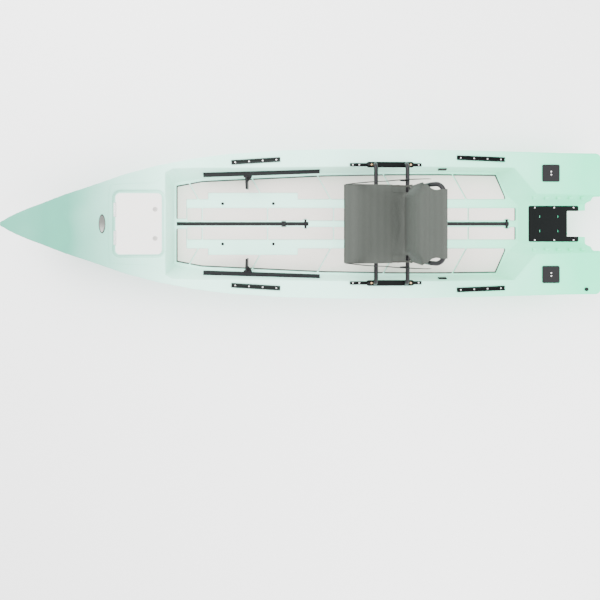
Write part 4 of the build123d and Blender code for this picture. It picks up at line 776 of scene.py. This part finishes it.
class SKIFF_OT_slings(bpy.types.Operator):
    """Stretch the seat sling and the back sling over their frames"""
    bl_idname = "skiff.slings"
    bl_label = "Slings"

    def seat_rows(self, profile, sag, columns=41):
        rows = []
        for y, z in profile:
            cut = min(max((y - SEAT_CUT[0]) / (SEAT_CUT[1] - SEAT_CUT[0]), 0.0), 1.0)
            half = SEAT_HALF + (SEAT_CUT_HALF - SEAT_HALF) * cut * cut * (3 - 2 * cut)
            aft = min(max((y - 0.300) / 0.08, 0.0), 1.0)
            row = []
            for j in range(columns):
                x = half * (2 * j / (columns - 1) - 1)
                row.append((x, y, z - sag * aft * (1 - (x / SEAT_HALF) ** 2)))
            rows.append(row)
        return rows

    def back_half(self, z):
        half = BACK_HALF - 0.016 * min(max((z - 0.760) / 0.068, 0.0), 1.0) ** 2
        for centre, radius in SCALLOPS:
            if abs(z - centre) < radius:
                half = min(half, 0.240 - math.sqrt(radius ** 2 - (z - centre) ** 2))
        return half

    def back_rows(self, profile, columns=41):
        """The sling's edges lie against the uprights, and its middle stands forward."""
        rows = []
        for y, z in profile:
            half = self.back_half(min(z, 0.905))
            row = []
            for j in range(columns):
                x = half * (2 * j / (columns - 1) - 1)
                near = min(max((abs(x) - 0.150) / 0.080, 0.0), 1.0)
                near = near * near * (3 - 2 * near)
                back = max(UPRIGHT_FRONT - y, 0.0) * min(max((0.842 - z) / 0.05, 0.0), 1.0)
                row.append((x, y + back * near, z))
            rows.append(row)
        return rows

    def execute(self, context):
        s = context.scene.skiff_seat
        profile = spaced(smooth_line(SEAT_PROFILE, 12), 70)
        rows = self.seat_rows(profile, s.sag)
        obj, area, width, length = cloth("seat_sling_weave", rows, s.thickness, "seat_body", "sling")
        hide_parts("seat_mesh")
        hem = [(y - 0.0012 if z < 0.50 else y, z + 0.0016) for y, z in profile[5:9]]
        rows = self.seat_rows(hem, 0.0)
        strip, area, width, length = cloth("seat_sling_hem", rows, HEM_THICKNESS, "seat_body", "hem")
        corner = [p for p in profile if 0.508 < p[0] < 0.598]
        for name, side in SIDES:
            rows = [[(side * (CORNER_INNER + CORNER_WIDTH * k / 6), y, z + 0.0006) for k in range(7)]
                    for y, z in corner]
            rows = rows if side > 0 else [row[::-1] for row in rows]
            made = cloth("seat_sling_corner_" + name, rows, s.thickness, "seat_body", "sling")
            obj, area, width, length = made
            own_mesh(obj)
        lower = spaced(smooth_line(BACK_LOWER, 12), 60)
        rows = self.back_rows(lower)
        obj, area, width, length = cloth("back_sling_weave", rows, s.thickness, "backrest_body", "sling")
        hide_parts("backrest_mesh")
        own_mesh(obj)
        upper = spaced(smooth_line(BACK_UPPER, 12), 34)
        rows = self.back_rows(upper)
        obj, area, width, length = cloth("back_sling_head", rows, s.thickness, "backrest_body", "sling")
        return {"FINISHED"}


class SKIFF_OT_trim(bpy.types.Operator):
    """Add the moulded teeth of the stern trough, the moulded bead of the bow deck and the badge"""
    bl_idname = "skiff.trim"
    bl_label = "Trim"

    def teeth_tree(self):
        """Nodes that repeat a small block along a line."""
        tree = bpy.data.node_groups.new("skiff_row_of_blocks", "GeometryNodeTree")
        face = tree.interface
        face.new_socket("Geometry", in_out="INPUT", socket_type="NodeSocketGeometry")
        sockets = {}
        for label, kind in (("Count", "NodeSocketInt"), ("Start", "NodeSocketVector"),
                            ("Step", "NodeSocketVector"), ("Block size", "NodeSocketVector"),
                            ("Turn", "NodeSocketRotation"),
                            ("Material", "NodeSocketMaterial")):
            sockets[label] = face.new_socket(label, in_out="INPUT", socket_type=kind).identifier
        face.new_socket("Geometry", in_out="OUTPUT", socket_type="NodeSocketGeometry")
        nodes = tree.nodes
        source = nodes.new("NodeGroupInput")
        sink = nodes.new("NodeGroupOutput")
        line = nodes.new("GeometryNodeMeshLine")
        cube = nodes.new("GeometryNodeMeshCube")
        copies = nodes.new("GeometryNodeInstanceOnPoints")
        real = nodes.new("GeometryNodeRealizeInstances")
        paint = nodes.new("GeometryNodeSetMaterial")
        pairs = ((source.outputs["Count"], line.inputs["Count"]),
                 (source.outputs["Start"], line.inputs["Start Location"]),
                 (source.outputs["Step"], line.inputs["Offset"]),
                 (source.outputs["Block size"], cube.inputs["Size"]),
                 (line.outputs["Mesh"], copies.inputs["Points"]),
                 (cube.outputs["Mesh"], copies.inputs["Instance"]),
                 (source.outputs["Turn"], copies.inputs["Rotation"]),
                 (copies.outputs["Instances"], real.inputs[0]),
                 (real.outputs[0], paint.inputs["Geometry"]),
                 (source.outputs["Material"], paint.inputs["Material"]),
                 (paint.outputs["Geometry"], sink.inputs[0]))
        for a, b in pairs:
            tree.links.new(a, b)
        return tree, sockets

    def row(self, name, tree, sockets, values, look):
        carrier = bpy.data.objects.new(name + "_source", bpy.data.meshes.new(name + "_source"))
        bpy.context.scene.collection.objects.link(carrier)
        modifier = carrier.modifiers.new("row", "NODES")
        modifier.node_group = tree
        for label, value in values.items():
            modifier[sockets[label]] = value
        modifier[sockets["Material"]] = LOOKS[look]
        carrier.update_tag()
        bpy.context.view_layer.update()
        mesh = bpy.data.meshes.new_from_object(carrier.evaluated_get(bpy.context.evaluated_depsgraph_get()))
        bpy.data.objects.remove(carrier)
        if not mesh.polygons:
            raise RuntimeError(name + " came out empty")
        return mesh

    def bead(self):
        """A fine moulded line round the hatch and back to the cockpit's corners."""
        outline = [(0.300, -0.915), (0.262, -0.985), (0.250, -1.190), (0.205, -1.246), (-0.205, -1.246),
                   (-0.250, -1.190), (-0.262, -0.985), (-0.300, -0.915)]
        curve = bpy.data.curves.new("deck_bead_line", "CURVE")
        curve.dimensions = "3D"
        curve.bevel_depth = 0.0022
        curve.bevel_resolution = 2
        spline = curve.splines.new("POLY")
        path = smooth_line(outline, 10)
        spline.points.add(len(path) - 1)
        for point, place in zip(spline.points, path):
            point.co = (place.x, place.y, line_value(DECK_LINE, place.y) - 0.0006, 1.0)
        carrier = bpy.data.objects.new("deck_bead_source", curve)
        bpy.context.scene.collection.objects.link(carrier)
        mesh = bpy.data.meshes.new_from_object(carrier.evaluated_get(bpy.context.evaluated_depsgraph_get()))
        bpy.data.objects.remove(carrier)
        mesh.name = "deck_bead"
        shade(mesh, 60.0)
        obj = new_piece("deck_bead", mesh, "hull_body", "hull")

    def badge(self):
        low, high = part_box("bow_badge")
        middle = (low + high) / 2
        bm = bmesh.new()
        slope = (line_value(DECK_LINE, high.y) - line_value(DECK_LINE, low.y)) / (high.y - low.y)
        steps = 64
        rings = ((1.0, 0.0), (1.0, 0.0020), (0.97, 0.0026), (0.90, 0.0026), (0.885, 0.0021))
        loops = []
        for size, up in rings:
            loop = []
            for k in range(steps):
                angle = 2 * math.pi * k / steps
                x = BADGE_HALF_LENGTH * size * math.cos(angle)
                y = BADGE_HALF_WIDTH * size * math.sin(angle)
                z = line_value(DECK_LINE, middle.y) + slope * y + 0.0003 + up
                loop.append(bm.verts.new((x, middle.y + y, z)))
            loops.append(loop)
        for a, b in zip(loops, loops[1:]):
            for k in range(steps):
                bm.faces.new((a[k], a[(k + 1) % steps], b[(k + 1) % steps], b[k]))
        bm.faces.new(loops[-1])
        bm.faces.new(loops[0][::-1])
        mesh = mesh_from(bm, "bow_badge_plate", 40.0)
        obj = new_piece("bow_badge_plate", mesh, "hull_body", "black")
        mesh.materials.append(LOOKS["badge"])
        for face in mesh.polygons:
            place = face.center
            share = math.hypot(place.x / BADGE_HALF_LENGTH, (place.y - middle.y) / BADGE_HALF_WIDTH)
            if share < BADGE_FACE and face.normal.z > 0.5:
                face.material_index = 1
        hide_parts("bow_badge")

    def execute(self, context):
        tree, sockets = self.teeth_tree()
        for name, side in SIDES:
            values = {"Count": 5, "Start": (side * 0.1705, 1.480, 0.2440), "Step": (0.0, 0.078, 0.0),
                      "Block size": (0.026, 0.022, 0.020), "Turn": (0.0, side * 0.80, 0.0)}
            mesh = self.row("trough_teeth_" + name, tree, sockets, values, "hull")
            mesh = applied(mesh, "teeth_soft", ("BEVEL", {"width": 0.003, "segments": 3}))
            mesh.name = "trough_teeth_" + name
            shade(mesh, 60.0)
            obj = new_piece("trough_teeth_" + name, mesh, "hull_body", "hull")
        self.bead()
        self.badge()
        return {"FINISHED"}


class SKIFF_OT_stage(bpy.types.Operator):
    """Set the pale floor, the soft lights, the sky and the camera above the deck"""
    bl_idname = "skiff.stage"
    bl_label = "Stage"

    def light(self, name, place, target, size, power):
        data = bpy.data.lights.new(name, "AREA")
        data.shape = "RECTANGLE"
        data.size, data.size_y = size
        data.energy = power
        obj = bpy.data.objects.new(name, data)
        bpy.context.scene.collection.objects.link(obj)
        obj.location = place
        obj.rotation_euler = (Vector(target) - Vector(place)).to_track_quat("-Z", "Y").to_euler()

    def execute(self, context):
        s = context.scene.skiff_stage
        paper = Shader("floor_paper", (0.90, 0.90, 0.90), 0.9).material
        bm = bmesh.new()
        bmesh.ops.create_grid(bm, x_segments=1, y_segments=1, size=30.0)
        mesh = bpy.data.meshes.new("floor")
        bm.to_mesh(mesh)
        bm.free()
        mesh.materials.append(paper)
        floor = bpy.data.objects.new("floor", mesh)
        bpy.context.scene.collection.objects.link(floor)
        floor.location.z = -0.0005
        self.light("key", (-2.6, -1.6, 3.8), (0.0, 0.0, 0.2), (3.0, 4.5), s.key)
        self.light("fill", (3.0, 1.2, 3.2), (0.0, 0.0, 0.2), (3.0, 4.5), s.key * 0.45)
        self.light("rim", (0.0, 4.6, 2.6), (0.0, 0.6, 0.3), (3.0, 2.0), s.key * 0.35)
        world = bpy.data.worlds.new("studio")
        world.use_nodes = True
        back = next(n for n in world.node_tree.nodes if n.type == "BACKGROUND")
        back.inputs["Color"].default_value = (1.0, 1.0, 1.0, 1.0)
        back.inputs["Strength"].default_value = 3.0
        context.scene.world = world
        data = bpy.data.cameras.new("camera")
        data.lens = 30.0
        data.sensor_width = 36.0
        data.shift_y = s.camera_shift
        data.clip_end = 100.0
        data.dof.use_dof = False
        camera = bpy.data.objects.new("camera", data)
        bpy.context.scene.collection.objects.link(camera)
        camera.location = (0.0, -0.045, s.camera_height)
        camera.rotation_euler = (0.0, 0.0, math.radians(90.0))
        context.scene.camera = camera
        return {"FINISHED"}


class SKIFF_PT_panel(bpy.types.Panel):
    bl_idname = "SKIFF_PT_panel"
    bl_label = "Fishing skiff kayak"
    bl_space_type = "VIEW_3D"
    bl_region_type = "UI"
    bl_category = "Skiff"

    def draw(self, context):
        layout = self.layout
        scene = context.scene
        for group, operators in (("skiff_hull", ("skiff.finishes", "skiff.hull", "skiff.trim")),
                                 ("skiff_pads", ("skiff.pads",)),
                                 ("skiff_seat", ("skiff.webbing", "skiff.slings")),
                                 ("skiff_stage", ("skiff.stage",))):
            settings = getattr(scene, group)
            box = layout.box()
            for key in settings.bl_rna.properties.keys():
                if key not in ("rna_type", "name"):
                    box.prop(settings, key)
            for operator in operators:
                box.operator(operator)


SETTINGS = (("skiff_hull", SkiffHullSettings), ("skiff_pads", SkiffPadSettings),
            ("skiff_seat", SkiffSeatSettings), ("skiff_stage", SkiffStageSettings))
OPERATORS = (SKIFF_OT_finishes, SKIFF_OT_hull, SKIFF_OT_pads, SKIFF_OT_webbing, SKIFF_OT_slings,
             SKIFF_OT_trim, SKIFF_OT_stage)


def register():
    for name, group in SETTINGS:
        bpy.utils.register_class(group)
        setattr(bpy.types.Scene, name, bpy.props.PointerProperty(type=group))
    for item in OPERATORS:
        bpy.utils.register_class(item)
    bpy.utils.register_class(SKIFF_PT_panel)


def unregister():
    bpy.utils.unregister_class(SKIFF_PT_panel)
    for item in reversed(OPERATORS):
        bpy.utils.unregister_class(item)
    for name, group in reversed(SETTINGS):
        delattr(bpy.types.Scene, name)
        bpy.utils.unregister_class(group)


def main():
    register()
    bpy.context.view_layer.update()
    bpy.ops.skiff.finishes()
    bpy.ops.skiff.hull()
    bpy.ops.skiff.pads()
    bpy.ops.skiff.webbing()
    bpy.ops.skiff.slings()
    bpy.ops.skiff.trim()
    bpy.ops.skiff.stage()


if __name__ == "__main__":
    main()
